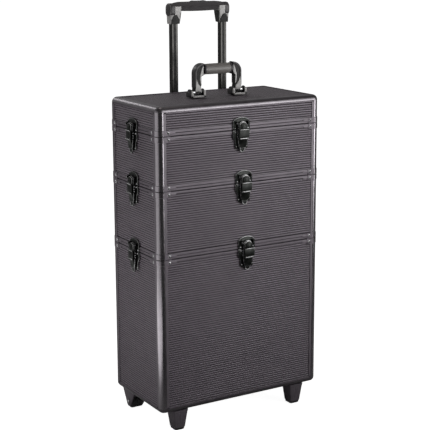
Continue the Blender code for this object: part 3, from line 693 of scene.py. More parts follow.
def corner_rivets(shape, corner, z):
    """Hollow rivets, one on each ear, with a dark disc in each hollow as painted shade."""
    rim = scaled([(1.2, -0.5), (1.2, 0.5), (1.7, 1.1), (2.3, 0.9), (2.8, 0.2), (2.9, -0.5)])
    shaded_hollow = scaled([(0, 0.3), (1.3, 0.4), (1.3, -0.5), (0, -0.5)])
    x_sign, y_sign = corner
    front = at(*from_corner(*corner, 21.5, -0.6), z) @ quarter("X", -y_sign)
    side = at(*from_corner(*corner, -0.6, 21.5), z) @ quarter("Y", x_sign)
    for placing in (front, side):
        shape.turned(rim, placing, 14, BRIGHT)
        shape.turned(shaded_hollow, placing, 14, RUBBER)


def build_frames():
    slot = "black_aluminium"
    post_gap, plate_gap, plate, rivet_up = 0.2 * MM, 0.1 * MM, 11.0 * MM, 6.0 * MM
    for section, (body, low, high) in SECTIONS.items():
        posts = Shape(POST)
        post_low = low + (BOTTOM_BEND * MM if section == "trunk" else post_gap)
        post_high = high - (TOP_BEND * MM if section == "lid" else post_gap)
        corner_posts(posts, post_low, post_high)
        posts.place(f"{section}_corner_posts", body, slot)

        rims = Shape(FRAME)
        if section == "trunk":
            swept(rims, edge_profile(BOTTOM_BEND, 12.0, -1, low), EDGE, BEND_STEPS)
        else:
            lower_rim(rims, low)
        if section == "lid":
            swept(rims, edge_profile(TOP_BEND, 13.0, 1, high), EDGE, BEND_STEPS)
        else:
            upper_rim(rims, high)
        rims.place(f"{section}_rims", body, slot, f"{section}_frame")

        brackets = Shape(FRAME)
        for corner in CORNERS:
            if section != "trunk":
                corner_bracket(brackets, corner, low + plate_gap, low + plate)
                corner_rivets(brackets, corner, low + rivet_up)
            if section != "lid":
                corner_bracket(brackets, corner, high - plate, high - plate_gap)
                corner_rivets(brackets, corner, high - rivet_up)
        brackets.place(f"{section}_corner_brackets", body, slot)


# ---- Latches ------------------------------------------------------------------------------------

# A latch faces -Y with y = 0 on the case's face and z = 0 on the seam, in millimetres.
PLATE = 1.6
PLATE_BACK = -0.3
PLATE_FRONT = -(0.3 + PLATE)


def facing(x, y, z):
    """Stands an outline up, facing -Y, centred on a depth."""
    return at(*mm(x, y, z)) @ FACING_FRONT


def arch(half, foot, top):
    """Upright sides from foot to a half-round head of radius half that ends at top."""
    return [(-half, foot), (half, foot)] + arc((0, top - half), half, 0, 180, 14)


def raised_line(shape, points, y, section, overlap, bevel, metal):
    """Small bars end to end along a line of (x, z) points, all at the depth y."""
    for (x0, z0), (x1, z1) in zip(points, points[1:]):
        turn = Matrix.Rotation(-math.atan2(z1 - z0, x1 - x0), 4, "Y")
        middle = at(*mm((x0 + x1) / 2, y, (z0 + z1) / 2))
        size = mm(math.hypot(x1 - x0, z1 - z0) + overlap, *section)
        shape.block(size, (0, 0, 0), bevel * MM, 2, metal, middle @ turn)


def rivet(shape, x, z, radius=1.7):
    """Bright domed rivet on a latch plate."""
    dome = [(0, 0.9), (0.45 * radius, 0.8), (0.8 * radius, 0.45), (radius, 0), (radius, -0.4), (0, -0.4)]
    shape.turned(scaled(dome), at(*mm(x, PLATE_FRONT, z)) @ quarter("X"), 12, BRIGHT)


def hinge_plate():
    shape = Shape(LATCH)
    rise, half, top = 11.0, 19.0, 24.5
    turns = [math.radians(degree) for degree in range(0, 181, 12)]
    head = [(half * math.cos(a), top - rise + rise * math.sin(a)) for a in turns]
    outline = [(-half, 0.6), (half, 0.6)] + head
    # The plate's bevelled edges get the painted highlight.
    shape.prism(scaled(outline), PLATE * MM, facing(0, PLATE_BACK - PLATE / 2, 0), 0.6 * MM, edge=HIGHLIGHT_NICKEL)
    # Raised bead just inside the arched edge.
    inset = 2.2
    narrow, flat = 1 - inset / half, 1 - inset / rise
    bead = [(x * narrow, top - rise + (z - top + rise) * flat) for x, z in head]
    raised_line(shape, bead, PLATE_FRONT, (1.1, 1.1), 0.4, 0.4, LATCH)
    # Lugs that hold the hasp's pin, and the pin's bright ends.
    for sign in (-1, 1):
        lug = [(-1.0, 17.4), (-1.0, 9.6)] + arc((-6.6, 13.5), 3.4, 270, 90, 8)
        shape.prism(scaled(lug), 2.0 * MM, at(sign * 11.8 * MM, 0, 0) @ FACING_RIGHT, 0.5 * MM, edge=HIGHLIGHT_NICKEL)
        dome = [(0, 0.6), (0.9, 0.45), (1.5, 0), (1.5, -0.4), (0, -0.4)]
        shape.turned(scaled(dome), at(*mm(sign * 12.8, -6.6, 13.5)) @ quarter("Y", sign), 12, BRIGHT)
        rivet(shape, sign * 14.6, 3.6)
    return shape.mesh("latch_hinge_plate")


def catch_plate():
    shape = Shape(LATCH)
    right = [(19, -0.6), (19, -13), (17.5, -16.5), (14.5, -19), (14, -24), (14, -34.5), (12.5, -36)]
    outline = [(-x, z) for x, z in right] + right[::-1]
    # The plate's bevelled edges get the painted highlight.
    shape.prism(scaled(outline), PLATE * MM, facing(0, PLATE_BACK - PLATE / 2, 0), 0.6 * MM, edge=HIGHLIGHT_NICKEL)
    # Hook that the hasp's spring bears on, just under the seam, and the rivets.
    shape.block(mm(17, 1.0, 3.0), mm(0, PLATE_FRONT, -5), 0.3 * MM)
    for sign in (-1, 1):
        rivet(shape, sign * 12.6, -3.4)
        rivet(shape, sign * 11.6, -31.0, 1.3)
    return shape.mesh("latch_catch_plate")


def hasp():
    """Swinging cover of a latch: domed head, flat between two bars lit by a painted highlight, sloping foot
    and pull tab.
    """
    shape = Shape(LATCH)
    back = -2.35

    def layer(outline, front, bevel, edge=None):
        placing = facing(0, (back + front) / 2, 0)
        shape.prism(scaled(outline), (back - front) * MM, placing, bevel * MM, edge=edge)

    side = [(10.5, -14), (10.5, -20), (8.6, -31), (6.8, -33.5)]
    body = [(-x, z) for x, z in side] + side[::-1] + arc((0, 6.6), 10.5, 0, 180, 14)
    layer(body, -6.6, 0.8, HIGHLIGHT_NICKEL)
    layer(arch(9.2, 0.5, 16.2), -9.2, 0.8, HIGHLIGHT_NICKEL)
    layer(arch(6.4, 1.0, 13.7), -10.9, 0.9)
    layer(arch(3.6, 3.0, 10.4), -11.8, 0.9)
    layer([(-9.7, -15.5), (9.7, -15.5), (9.7, 1.2), (-9.7, 1.2)], -10.6, 0.7)
    for z, height in ((1.5, 2.0), (-15.2, 2.2)):
        shape.block(mm(19.0, 3.6, height), mm(0, -10.7, z), 0.85 * MM, 3, HIGHLIGHT_NICKEL)
    # The foot slopes back towards the plate.
    foot = [(-2.4, -15), (-10.2, -15), (-9.4, -17), (-5.2, -31.5), (-4.2, -33.2), (-2.4, -33.4)]
    shape.prism(scaled(foot), 15.6 * MM, FACING_RIGHT, 0.8 * MM)
    # The pull tab is a tongue with a raised rim, light with a painted highlight.
    tab = [(6.2, -30), (-6.2, -30)] + arc((0, -36.2), 6.2, 180, 360, 12)
    shape.prism(scaled(tab), 1.7 * MM, facing(0, -3.6, 0), 0.5 * MM)
    ring = [(-5.0, -31.5)] + arc((0, -36.2), 5.0, 190, 350, 10) + [(5.0, -31.5)]
    raised_line(shape, ring, -4.8, (1.6, 1.7), 0.5, 0.6, HIGHLIGHT_NICKEL)
    # Heads of the spring pins, in a row down each flank.
    dome = [(0, 0.7), (0.8, 0.55), (1.3, 0), (1.3, -0.5), (0, -0.5)]
    for sign in (-1, 1):
        for z in (-2.5, -7.0, -11.5):
            shape.turned(scaled(dome), at(*mm(sign * 10.5, -4.8, z)) @ quarter("Y", sign), 12, BRIGHT)
    return shape.mesh("latch_hasp")


def build_latches():
    plate, cover, catch = hinge_plate(), hasp(), catch_plate()
    above = {"lower": "middle_tier", "middle": "top_tier", "upper": "lid"}
    below = {"lower": "base", "middle": "middle_tier", "upper": "top_tier"}
    turns = {"front": 0, "left": -1, "right": 1}
    for level, seam in SEAMS.items():
        for side, turn in turns.items():
            name = f"{level}_latch_{side}"
            middle = box(f"{name}_catch_plate")[2]
            seats = {
                "front": (middle.x, CASE_Y - HALF_DEPTH, seam),
                "left": (-HALF_WIDTH, middle.y, seam),
                "right": (HALF_WIDTH, middle.y, seam),
            }
            seat = at(*seats[side]) @ quarter("Z", turn)
            place(f"{name}_arched_plate", plate, above[level], [f"{name}_hinge_plate"], seat)
            place(f"{name}_cover", cover, f"{level}_{side}_hasp", [f"{name}_hasp"], seat)
            place(f"{name}_lower_plate", catch, below[level], [f"{name}_catch_plate"], seat)


# ---- Carry handle -------------------------------------------------------------------------------


def build_handle_feet():
    """Clevis feet: dark cheeks and base behind a light U-shaped front."""
    wall = 1.8 * MM
    for side in SIDES:
        low, high, middle = box(f"handle_foot_{side}")
        width, depth, height = high - low
        shape = Shape(PLASTIC)
        placing = at(middle.x, middle.y, low.z)
        shape.block((width, depth - 1 * MM, 2.5 * MM), (0, 0, 1.25 * MM), 0.5 * MM, placing=placing)
        for ear in (-1, 1):
            outline = [(-depth / 2 + 1 * MM, 0), (depth / 2, 0), (depth / 2, height - 6 * MM)]
            outline += arc((0.0, height - 7 * MM), 7 * MM, 15, 165, 10)
            outline += [(-depth / 2 + 1 * MM, height - 6 * MM)]
            cheek_x = ear * (width / 2 - 1.9 * MM)
            shape.prism(outline, 3.8 * MM, placing @ at(cheek_x, 0, 0) @ FACING_RIGHT, 0.7 * MM)
            bolt = [(0, 0.5), (1.6, 0.4), (2.2, 0), (2.2, -0.6), (0, -0.6)]
            outward = placing @ at(ear * width / 2, 0, 9.5 * MM) @ quarter("Y", ear)
            shape.turned(scaled(bolt), outward @ at(0, 0, -0.4 * MM), 14, RIVET)
        for face in (-1, 1):
            centre = (0, face * (depth / 2 - 0.9 * MM), 1.95 * MM)
            shape.block((width, wall, 3.9 * MM), centre, 0.5 * MM, 2, GREY, placing)
        for ear in (-1, 1):
            size = (4.8 * MM, wall, height - 2.5 * MM)
            centre = (ear * (width / 2 - 2.4 * MM), -depth / 2 + 0.9 * MM, (height - 2.5 * MM) / 2)
            shape.block(size, centre, 0.5 * MM, 2, GREY, placing)
        shape.place(f"handle_foot_{side}_clevis", "lid", "black_plastic", f"handle_foot_{side}")


# The bail and its pad in millimetres, with heights over the pivots.
bail_low, bail_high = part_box("handle_bail")
pad_low, pad_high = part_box("handle_pad")
PAD_RADIUS = (pad_high.z - pad_low.z) / 2 / MM
PAD_HALF = (pad_high.x - pad_low.x) / 2 / MM
GRIP_UP = ((pad_high.z + pad_low.z) / 2 - HANDLE_PIVOT.z) / MM
ARM_HALF_DEPTH = (bail_high.y - bail_low.y) / 2 / MM
EYE_X = 46.5
OUTER_HALF, INNER_HALF = 52.5, 37.5
BAIL_TOP = GRIP_UP + PAD_RADIUS - 0.3
BEND = 19.0
HANDLE_AXIS = at(*HANDLE_PIVOT)
PAD_AXIS = HANDLE_AXIS @ at(0, 0, GRIP_UP * MM) @ quarter("Y")


def arm_outline(grow):
    """Front view of the right arm, in millimetres from the middle of the pivot axis."""
    outer, inner, top = OUTER_HALF + grow, INNER_HALF - grow, BAIL_TOP + grow
    points = [(inner + 0.5, -1.0), (outer - 1.0, -1.0), (outer, 6.0), (outer, 18.0)]
    points += arc((outer - BEND, top - BEND), BEND, 0, 84, 10)
    points += [(PAD_HALF + 0.3, top), (PAD_HALF + 0.3, GRIP_UP - PAD_RADIUS + 0.6)]
    points += arc((inner - 3.0, GRIP_UP - PAD_RADIUS - 3.6), 3.5, 70, 0, 4)
    points += [(inner, 18.0)]
    return points


def build_bail():
    """Handle arms joined by a core inside the pad."""
    shape = Shape(PLASTIC)
    bend_centre = (OUTER_HALF - BEND, BAIL_TOP - BEND)
    rim = [(OUTER_HALF - 3.6, 9), (OUTER_HALF, 9), (OUTER_HALF, 18)] + arc(bend_centre, BEND, 0, 84, 12)
    rim += [(PAD_HALF + 0.4, BAIL_TOP), (PAD_HALF + 0.4, BAIL_TOP - 4.0)]
    rim += arc(bend_centre, BEND - 4.0, 82, 0, 12) + [(OUTER_HALF - 4.0, 18)]
    wedge = [(INNER_HALF + 0.4, 1.5), (OUTER_HALF - 1.0, 1.5), (OUTER_HALF - 1.6, 12), (OUTER_HALF - 3.4, 27)]
    wedge += [(OUTER_HALF - 4.6, 22), (OUTER_HALF - 7.5, 15.5), (INNER_HALF + 1.6, 9.5)]
    leaf = [(INNER_HALF + 0.6, 12.5), (INNER_HALF + 2.6, 17), (INNER_HALF + 4.2, 25), (INNER_HALF + 3.6, 33)]
    leaf += [(INNER_HALF + 0.4, 43), (INNER_HALF - 3.0, BAIL_TOP - 4.6), (INNER_HALF - 4.2, BAIL_TOP - 7.5)]
    leaf += [(INNER_HALF - 3.6, GRIP_UP - 9.0), (INNER_HALF + 0.6, GRIP_UP - 13.5)]
    eye = [(0, 11.3), (4.2, 11.3), (5.2, 10.3), (5.2, -10.3), (4.2, -11.3), (0, -11.3)]
    for sign in (-1, 1):
        mirror = Matrix.Diagonal((sign, 1.0, 1.0, 1.0))

        def on_arm(y):
            return HANDLE_AXIS @ mirror @ at(0, y * MM, 0) @ FACING_FRONT

        # The web is set back behind a dark rim on the outer edge.
        web = 2 * (ARM_HALF_DEPTH - 1.2) * MM
        shape.prism(scaled(arm_outline(-0.6)), web, on_arm(0), 1.2 * MM, 3, RUBBER)
        shape.prism(scaled(rim), 2 * ARM_HALF_DEPTH * MM, on_arm(0), 1.2 * MM, 3)
        # On each face, a light wedge at the foot, narrowing upwards, and a light leaf inside the shoulder.
        for face in (-1, 1):
            for outline, sunk in ((wedge, 0.6), (leaf, 0.9)):
                placing = on_arm(face * (ARM_HALF_DEPTH - sunk))
                shape.prism(scaled(outline), 1.4 * MM, placing, 0.4 * MM, material=GREY)
        shape.turned(scaled(eye), HANDLE_AXIS @ at(sign * EYE_X * MM, 0, 0) @ quarter("Y"), 20, BRIGHT)
    core = [(0, 37), (5.0, 37), (5.0, -37), (0, -37)]
    shape.turned(scaled(core), PAD_AXIS, 20)
    shape.place("carry_handle_bail", "carry_handle", "black_plastic", "handle_bail")


def build_pad():
    """Soft sleeve, a little fuller in the middle, with a collar at each end."""
    shape = Shape(GRIP)
    count = 16
    outer = []
    for i in range(count + 1):
        along = -1 + 2 * i / count
        outer.append((10.4 - 0.5 * along**4, along * (PAD_HALF - 4.2)))
    profile = [(5.3, -PAD_HALF + 4)] + outer + [(5.3, PAD_HALF - 4)]
    shape.turned(scaled(profile), PAD_AXIS, 40)
    collar = [(5.3, 26.9), (9.6, 26.9), (10.5, 27.6), (10.5, 30.2), (9.8, 31.0), (5.3, 31.0)]
    for sign in (-1, 1):
        shape.turned(scaled([(radius, sign * along) for radius, along in collar]), PAD_AXIS, 40, PLASTIC)
    shape.place("carry_handle_pad", "carry_handle", "soft_grip", "handle_pad")


# ---- Trolley ------------------------------------------------------------------------------------

TUBE_WALL = 0.9
GRIP_HALF_DEPTH = 11.4


def tube_outline(width, depth, grooved):
    """Rounded tube section, with a groove along the front and back faces of the inner stage."""
    outline = rounded_rectangle(width, depth, 2.4, 4)
    if not grooved:
        return outline
    half, bottom = 2.3, depth / 2 - 1.0
    back = [(half + 0.4, depth / 2), (half, bottom), (-half, bottom), (-half - 0.4, depth / 2)]
    front = [(-x, -y) for x, y in back]
    quarter_count = len(outline) // 4
    start, end = outline[:quarter_count], outline[3 * quarter_count :]
    return start + back + outline[quarter_count : 3 * quarter_count] + front + end


def build_tubes():
    # The stages: material, body and slot.
    stages = {
        "inner": (SATIN, "trolley_inner", "satin_aluminium"),
        "middle": (DARK_TUBE, "trolley_middle", "satin_aluminium"),
        "outer": (DARK_TUBE, "base", "black_aluminium"),
    }
    for stage, (finish, body, slot) in stages.items():
        for side in SIDES:
            low, high, centre = box(f"trolley_{stage}_tube_{side}")
            width, depth = (high.x - low.x) / MM, (high.y - low.y) / MM
            outer = tube_outline(width, depth, stage == "inner")
            inner = [(x * (1 - 2 * TUBE_WALL / width), y * (1 - 2 * TUBE_WALL / depth)) for x, y in outer]

            def ring(outline, z):
                return plan_ring(scaled(outline), centre, z)

            shape = Shape(finish)
            rings = [ring(outer, low.z), ring(outer, high.z), ring(inner, high.z), ring(inner, low.z)]
            shape.loft(rings, looped=True)
            if stage == "inner":
                # Dark strip in the groove of each face: painted shade in the groove.
                strip = (4.0 * MM, 0.5 * MM, high.z - low.z - 1 * MM)
                for face in (-1, 1):
                    seat = (centre.x, centre.y + face * (depth / 2 - 0.9) * MM, centre.z)
                    shape.block(strip, seat, material=RUBBER)
            else:
                # Collar at the mouth, which the next stage runs through.
                collar_low, collar_high = high.z - 9 * MM, high.z - 0.2 * MM
                sizes = [(width + grow, depth + grow) for grow in (1.6, 0.8, -0.4)]
                grown, lip, hole = (tube_outline(*size, False) for size in sizes)
                levels = [(hole, collar_low), (lip, collar_low), (grown, collar_low + 0.6 * MM)]
                levels += [(grown, collar_high - 0.6 * MM), (lip, collar_high), (hole, collar_high)]
                shape.loft([ring(outline, z) for outline, z in levels], PLASTIC, looped=True)
            shape.place(f"trolley_{stage}_stage_{side}", body, slot, f"trolley_{stage}_tube_{side}")


def build_tube_brackets():
    """Moulded blocks with screws that hold the outer tubes to the back of the trunk."""
    gap_half, rib_pitch, screw_out = 10.6 * MM, 14 * MM, 40 * MM
    head = [(0, 0.4), (0.6, 0.4), (0.8, 1.0), (2.6, 1.0), (3.2, 0.4), (3.3, -0.5), (0, -0.5)]
    for name in ("lower", "upper"):
        low, high, middle = box(f"trolley_{name}_bracket")
        height = high.z - low.z
        shape = Shape(PLASTIC)
        rear = high.y - 1.4 * MM
        shape.block((high.x - low.x, 2.8 * MM, height), (middle.x, rear, middle.z), 1.0 * MM, 3)
        spans = [(low.x, TUBE_X["left"] - gap_half), (TUBE_X["left"] + gap_half, TUBE_X["right"] - gap_half)]
        spans.append((TUBE_X["right"] + gap_half, high.x))
        for start, end in spans:
            centre = ((start + end) / 2, (low.y + rear) / 2, middle.z)
            shape.block((end - start, rear - low.y, height - 0.6 * MM), centre, 0.6 * MM)
        for rib in range(-2, 3):
            centre = (middle.x + rib * rib_pitch, high.y + 0.1 * MM, middle.z)
            shape.block((2 * MM, 1.2 * MM, height - 6 * MM), centre, 0.4 * MM)
        for sign in (-1, 1):
            screw = at(middle.x + sign * screw_out, high.y - 0.1 * MM, middle.z) @ quarter("X", -1)
            shape.turned(scaled(head), screw, 16, RIVET)
        shape.place(f"trolley_{name}_clamp", "base", "black_plastic", f"trolley_{name}_bracket")


def grip_section(share, low, high, half_depth):
    """Section of the trolley grip at a share of its half width: flat on top, creased along the middle."""
    lean = max(0.0, abs(share) - 0.62) / 0.38
    top = high - 5.2 * lean**1.5
    bottom = low + 1.2 + 2.4 * share**2
    crease = (high + low) / 2 + 0.6 - 2.0 * lean
    reach = half_depth * (1 - 0.16 * lean**2)
    half = [(0.50 * reach, top), (0.74 * reach, top - 1.3), (0.955 * reach, crease + 1.6)]
    half += [(reach, crease + 0.7), (0.955 * reach, crease - 0.2), (0.93 * reach, crease - 0.9)]
    half += [(0.72 * reach, bottom + 1.6), (0.45 * reach, bottom + 0.3), (0.2 * reach, bottom)]
    return half + [(-y, z) for y, z in reversed(half)]


def build_grip():
    low, high, middle = box("trolley_grip")
    half_width = (high.x - low.x) / 2
    shape = Shape(PLASTIC)
    rings = []
    count = 32
    for i in range(count + 1):
        share = -1 + 2 * i / count
        x = middle.x + share * (half_width - 2.6 * MM)
        section = grip_section(share, low.z / MM, high.z / MM, GRIP_HALF_DEPTH)
        rings.append([Vector((x, middle.y + y * MM, z * MM)) for y, z in section])
    shape.loft(rings)
    # Big rounded end caps with a light line round them: size, inner and outer end, bevel and material.
    oval = rounded_rectangle(23.7, 26.8, 9.0, 8)
    layers = ((1, 57.6, 67.2, 1.2, PLASTIC), (0.9, 66, 67.7, 0.3, GREY), (0.84, 66, 68.8, 0.8, PLASTIC))
    for sign in SIDES.values():
        for share, inner, outer, bevel, plastic in layers:
            x = middle.x + sign * (inner + outer) / 2 * MM
            cap = at(x, middle.y, middle.z - 5.6 * MM) @ FACING_RIGHT
            outline = scaled([(y * share, z * share) for y, z in oval])
            shape.prism(outline, (outer - inner) * MM, cap, bevel * MM, 2, plastic)
    shape.place("trolley_grip_bar", "trolley_inner", "black_plastic", "trolley_grip")


def build_sleeves():
    """Sockets under the grip: a light face sloping back to the tube, with a dark arch of painted shade over
    the tube.
    """
    # Height above the socket's foot, then its inner, outer, front and back reach, in millimetres.
    levels = (
        (0.0, 10.2, 10.2, 7.6, 7.6),
        (1.0, 10.8, 10.8, 8.2, 8.2),
        (14.0, 11.6, 11.0, 9.6, 9.0),
        (22.0, 12.6, 11.0, 10.9, 10.2),
        (30.0, 13.8, 9.6, 11.4, 11.2),
        (34.2, 13.8, 8.6, 11.5, 11.2),
    )
    # The arch leans as the front face does from the second level to the third.
    lean = math.atan2(levels[2][3] - levels[1][3], levels[2][0] - levels[1][0])
    painted_shade_arch = [(-9.0, 0.2), (9.0, 0.2), (8.4, 8.0)] + arc((0, 12.0), 6.0, 10, 170, 8) + [(-8.4, 8.0)]
    # Dark cheek on the inner side, under the bar: painted shade.
    painted_shade_cheek = [(-6.6, 0.6), (6.6, 0.6), (9.4, 20.0), (9.4, 24.0), (-9.4, 24.0), (-9.4, 20.0)]
    for side, sign in SIDES.items():
        foot = at(TUBE_X[side], TUBE_Y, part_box(f"trolley_sleeve_{side}")[0].z)
        shape = Shape(GREY)
        rings = []
        for z, inner, outer, front, back in levels:
            middle = (-sign * (inner - outer) / 2 * MM, (back - front) / 2 * MM)
            outline = rounded_rectangle((inner + outer) * MM, (front + back) * MM, 3.0 * MM, 5, middle)
            rings.append([Vector((x, y, z * MM)) for x, y in outline])
        shape.loft(rings, placing=foot)
        # Dark arches on the front and back faces: painted shade where the tube goes in under the grip.
        for face in (-1, 1):
            seat = foot @ at(0, face * 8.9 * MM, 0) @ Matrix.Rotation(-face * lean, 4, "X") @ FACING_FRONT
            shape.prism(scaled(painted_shade_arch), 1.6 * MM, seat, 0.5 * MM, 2, RUBBER)
        lean_in = Matrix.Rotation(-sign * math.atan2(2.0, 22.0), 4, "Y")
        seat = foot @ at(-sign * 10.75 * MM, 0, 0) @ lean_in @ FACING_RIGHT
        shape.prism(scaled(painted_shade_cheek), 1.4 * MM, seat, 0.5 * MM, 2, RUBBER)
        name = f"trolley_sleeve_{side}"
        shape.place(f"{name}_socket", "trolley_inner", "grey_plastic", name)


def build_button():
    """Release button in the top of the grip, with a groove across each end."""
    low, high, middle = box("trolley_button")
    size = high - low
    shape = Shape(PLASTIC)
    outline = rounded_rectangle(size.x, size.y, 3.0 * MM, 5)
    rings = []
    # How far each ring is inside the outline, in millimetres, and its height.
    levels = ((0.0, low.z), (0.0, high.z - 1.4 * MM), (0.4, high.z - 0.8 * MM), (1.2, high.z - 0.5 * MM))
    for inset, z in levels:
        share_x, share_y = 1 - 2 * inset * MM / size.x, 1 - 2 * inset * MM / size.y
        rings.append(plan_ring([(x * share_x, y * share_y) for x, y in outline], middle, z))
    shape.loft(rings)
    for rib in (-13.0, -11.0, 11.0, 13.0):
        rib_size = (0.9 * MM, size.y - 3 * MM, 0.8 * MM)
        shape.block(rib_size, (middle.x + rib * MM, middle.y, high.z - 0.4 * MM), 0.3 * MM, 1)
    shape.place("trolley_release_button", "trolley_release", "grey_plastic", "trolley_button")


# ---- Feet and wheels ----------------------------------------------------------------------------


def build_feet():
    """Tapered feet with fluted faces, a flared shoulder and a rubber tip."""
    lean = math.atan2(3.7, 30.7)
    for side in SIDES:
        low, high, middle = box(f"foot_{side}")
        shape = Shape(FOOT)

        def ring(width, z, radius=3.2):
            return plan_ring(rounded_rectangle(width * MM, width * MM, radius * MM, 5), middle, z)

        top, tip = high.z, low.z + 5.0 * MM
        levels = [(22.6, tip), (23.2, tip + 0.5 * MM), (30.6, top - 6 * MM)]
        levels += [(32.0, top - 3 * MM), (32.4, top)]
        shape.loft([ring(width, z) for width, z in levels])
        shape.loft([ring(18.0, low.z, 3.0), ring(20.6, low.z + 1.0 * MM), ring(21.8, tip + 0.2 * MM)], RUBBER)
        # Shallow flutes on each face.
        span = top - tip - 12 * MM
        for turn in range(4):
            face = at(middle.x, middle.y, 0) @ quarter("Z", turn)
            for flute in (-1, 0, 1):
                seat = at(flute * 5.6 * MM, -13.55 * MM, (top + tip) / 2)
                placing = face @ seat @ Matrix.Rotation(lean, 4, "X")
                shape.block((2.2 * MM, 1.1 * MM, span), (0, 0, 0), 0.45 * MM, placing=placing)
        shape.place(f"foot_{side}_tapered", "base", "black_plastic", f"foot_{side}")


def build_wheels():
    """Forks with a wide top and a round end, wheels with a grooved tread, and axle bolts."""
    # Side of a fork, up from the floor under the axle. The turned profiles are about the axle.
    cheek = [(24.8, 42.0), (-24.8, 42.0), (-24.2, 36.0)] + arc((0, 13.5), 9.8, 200, 340, 14) + [(24.2, 36.0)]
    boss = [(0, 0.9), (5.6, 0.9), (6.4, 0.2), (6.4, -0.5), (0, -0.5)]
    near = [(2.8, -12), (5.0, -12), (5.4, -11.2), (9.4, -11.2), (9.8, -12), (12.4, -12), (13.3, -10.6)]
    tread = [(13.5, -9.6), (13.5, -3.4), (12.7, -2.9), (12.7, -2.1), (13.5, -1.6), (13.5, 1.6)]
    tread += [(12.7, 2.1), (12.7, 2.9), (13.5, 3.4), (13.5, 9.6)]
    far = [(radius, -along) for radius, along in reversed(near)]
    bolt = [(0, 17.4), (1.6, 17.9), (3.2, 17.7), (4.1, 16.9), (4.2, 15.6), (2.5, 15.4)]
    bolt += [(radius, -along) for radius, along in reversed(bolt)]
    plate_out, boss_out = 14.0 * MM, 15.5 * MM
    for side in SIDES:
        hub = at(*WHEEL_AXIS[side])
        foot = Vector((WHEEL_AXIS[side].x, WHEEL_AXIS[side].y, 0.0))
        fork = Shape(FOOT)
        for face in (-1, 1):
            seat = at(*foot) @ at(face * plate_out, 0, 0) @ FACING_RIGHT
            fork.prism(scaled(cheek), 3.0 * MM, seat, 0.9 * MM, 3)
            fork.turned(scaled(boss), hub @ at(face * boss_out, 0, 0) @ quarter("Y", face), 24)
        fork.block(mm(26, 46, 4.2), foot + Vector(mm(0, 0, 39.9)), 1.0 * MM)
        fork.block(mm(26, 2.4, 12), foot + Vector(mm(0, -17.5, 34)), 0.6 * MM)
        fork.place(f"wheel_fork_{side}", "base", "black_plastic", f"wheel_housing_{side}")

        wheel = Shape(RUBBER)
        wheel.turned(scaled(near + tread + far), hub @ quarter("Y"), 48)
        wheel.place(f"wheel_{side}_tyre", f"roller_{side}", "wheel_rubber", f"wheel_{side}")

        axle = Shape(BRIGHT)
        axle.turned(scaled(bolt), hub @ quarter("Y"), 24)
        axle.place(f"axle_{side}_bolt", "base", "bright_steel", f"axle_{side}")


# ---- Studio -------------------------------------------------------------------------------------

CAMERA_FROM_CASE = Vector((-1.206, -2.019, 0.9235))
CAMERA_YAW, CAMERA_PITCH, CAMERA_ROLL = 30.83, 11.68, -0.24
# Strength of the world's light from in front and from behind.
ROOM, SWEEP = 0.058, 0.41
# How white the floor is lifted for the camera, and how dark it is flagged in front for the metal.
FLOOR_LIFT, FLAG = 0.95, 0.95
# Name, place, aim, width and height in metres, watts, spread in degrees and tint of each light.
WHITE, WARM = (1.0, 1.0, 1.0), (1.0, 0.95, 0.88)
LIGHTS = (
    ("key", (0.87, -1.39, 0.82), (0.05, -0.1, 0.90), (1.35, 1.35), 6.8, 75.0, WHITE),
    ("left_wall", (-1.15, 0.15, 0.42), (0.0, 0.0, 0.30), (1.5, 0.78), 3.0, 180.0, WHITE),
    ("left_floor", (-0.78, 0.0, 0.01), (-0.78, 0.0, 1.0), (0.6, 1.3), 4.3, 180.0, WHITE),
    ("back_left", (-0.6, 1.9, 1.6), (-0.18, 0.0, 0.63), (0.5, 0.5), 4.8, 180.0, WHITE),
    ("overhead", (0.0, -0.05, 2.2), (0.0, 0.0, 0.6), (0.8, 0.8), 3.5, 180.0, WARM),
)


def build_camera():
    data = bpy.data.cameras.new("camera")
    data.lens = 101.5
    data.sensor_width = 36.0
    data.shift_y = -0.05
    data.clip_end = 100.0
    camera = bpy.data.objects.new("camera", data)
    camera.location = CAMERA_FROM_CASE + Vector((0, CASE_Y, 0))
    turn, tilt, roll = (math.radians(angle) for angle in (-CAMERA_YAW, 90 - CAMERA_PITCH, CAMERA_ROLL))
    aim = Matrix.Rotation(turn, 3, "Z") @ Matrix.Rotation(tilt, 3, "X")
    camera.rotation_euler = (aim @ Matrix.Rotation(roll, 3, "Z")).to_euler()
    bpy.context.scene.collection.objects.link(camera)
    bpy.context.scene.camera = camera


def across_y(nodes, links, place_or_direction, y_from, y_to, value_from, value_to):
    """A value that goes smoothly from one to another between two places along Y."""
    split = nodes.new("ShaderNodeSeparateXYZ")
    links.new(place_or_direction, split.inputs["Vector"])
    smooth = nodes.new("ShaderNodeMapRange")
    smooth.interpolation_type = "SMOOTHSTEP"
    links.new(split.outputs["Y"], smooth.inputs["Value"])
    levels = {"From Min": y_from, "From Max": y_to, "To Min": value_from, "To Max": value_to}
    for socket, value in levels.items():
        smooth.inputs[socket].default_value = value
    return smooth.outputs["Result"]


def product(nodes, links, first, second):
    """Multiplies an output by another output or by a number."""
    times = nodes.new("ShaderNodeMath")
    times.operation = "MULTIPLY"
    links.new(first, times.inputs[0])
    if isinstance(second, float):
        times.inputs[1].default_value = second
    else:
        links.new(second, times.inputs[1])
    return times.outputs[0]


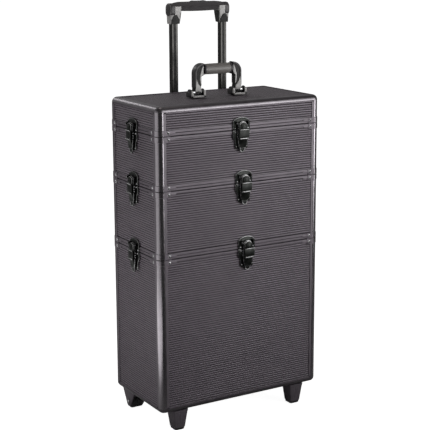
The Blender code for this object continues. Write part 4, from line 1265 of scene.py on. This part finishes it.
def build_floor():
    """Pale floor, lifted towards white for the camera. The metal mirrors it as flagged off in front."""
    bm = bmesh.new()
    bmesh.ops.create_grid(bm, x_segments=1, y_segments=1, size=30.0)
    mesh = bpy.data.meshes.new("floor")
    bm.to_mesh(mesh)
    bm.free()
    paint = Paint("studio_floor", roughness=0.9, specular=0.1)
    paint.vary("Base Color", paint.noise(3.0), 0.66, 0.68)
    nodes, links, inputs = paint.nodes, paint.links, paint.shader.inputs
    ray = nodes.new("ShaderNodeLightPath").outputs
    in_front = across_y(nodes, links, paint.place, -0.5, 0.1, FLAG, 0.0)
    mix = nodes.new("ShaderNodeMixRGB")
    links.new(product(nodes, links, in_front, ray["Is Glossy Ray"]), mix.inputs["Fac"])
    links.new(inputs["Base Color"].links[0].from_socket, mix.inputs["Color1"])
    mix.inputs["Color2"].default_value = (0.0, 0.0, 0.0, 1.0)
    links.new(mix.outputs["Color"], inputs["Base Color"])
    inputs["Emission Color"].default_value = (*WHITE, 1.0)
    links.new(product(nodes, links, ray["Is Camera Ray"], FLOOR_LIFT), inputs["Emission Strength"])
    mesh.materials.append(paint.material)
    floor = bpy.data.objects.new("studio_floor", mesh)
    bpy.context.scene.collection.objects.link(floor)


def build_world():
    """White to the camera. As light, the white sweep stands behind the case and the room in front is dim."""
    world = bpy.data.worlds.new("studio")
    bpy.context.scene.world = world
    world.use_nodes = True
    nodes, links = world.node_tree.nodes, world.node_tree.links
    direction = nodes.new("ShaderNodeTexCoord").outputs["Generated"]
    background = nodes["Background"]
    links.new(across_y(nodes, links, direction, -0.2, 0.9, ROOM, SWEEP), background.inputs["Strength"])
    white = nodes.new("ShaderNodeBackground")
    for shader in (background, white):
        shader.inputs["Color"].default_value = (*WHITE, 1.0)
    mix = nodes.new("ShaderNodeMixShader")
    links.new(nodes.new("ShaderNodeLightPath").outputs["Is Camera Ray"], mix.inputs["Fac"])
    links.new(background.outputs["Background"], mix.inputs[1])
    links.new(white.outputs["Background"], mix.inputs[2])
    links.new(mix.outputs["Shader"], nodes["World Output"].inputs["Surface"])


def build_lights():
    for name, position, target, size, power, spread, tint in LIGHTS:
        data = bpy.data.lights.new(name, "AREA")
        data.shape = "RECTANGLE"
        data.size, data.size_y = size
        data.energy = power
        data.spread = math.radians(spread)
        data.color = tint
        light = bpy.data.objects.new(name, data)
        light.location = position
        light.rotation_euler = (Vector(target) - Vector(position)).to_track_quat("-Z", "Y").to_euler()
        bpy.context.scene.collection.objects.link(light)


build_panels()
build_frames()
build_latches()
build_handle_feet()
build_bail()
build_pad()
build_tubes()
build_tube_brackets()
build_grip()
build_sleeves()
build_button()
build_feet()
build_wheels()
build_camera()
build_floor()
build_world()
build_lights()
bpy.context.scene.view_settings.view_transform = "Standard"
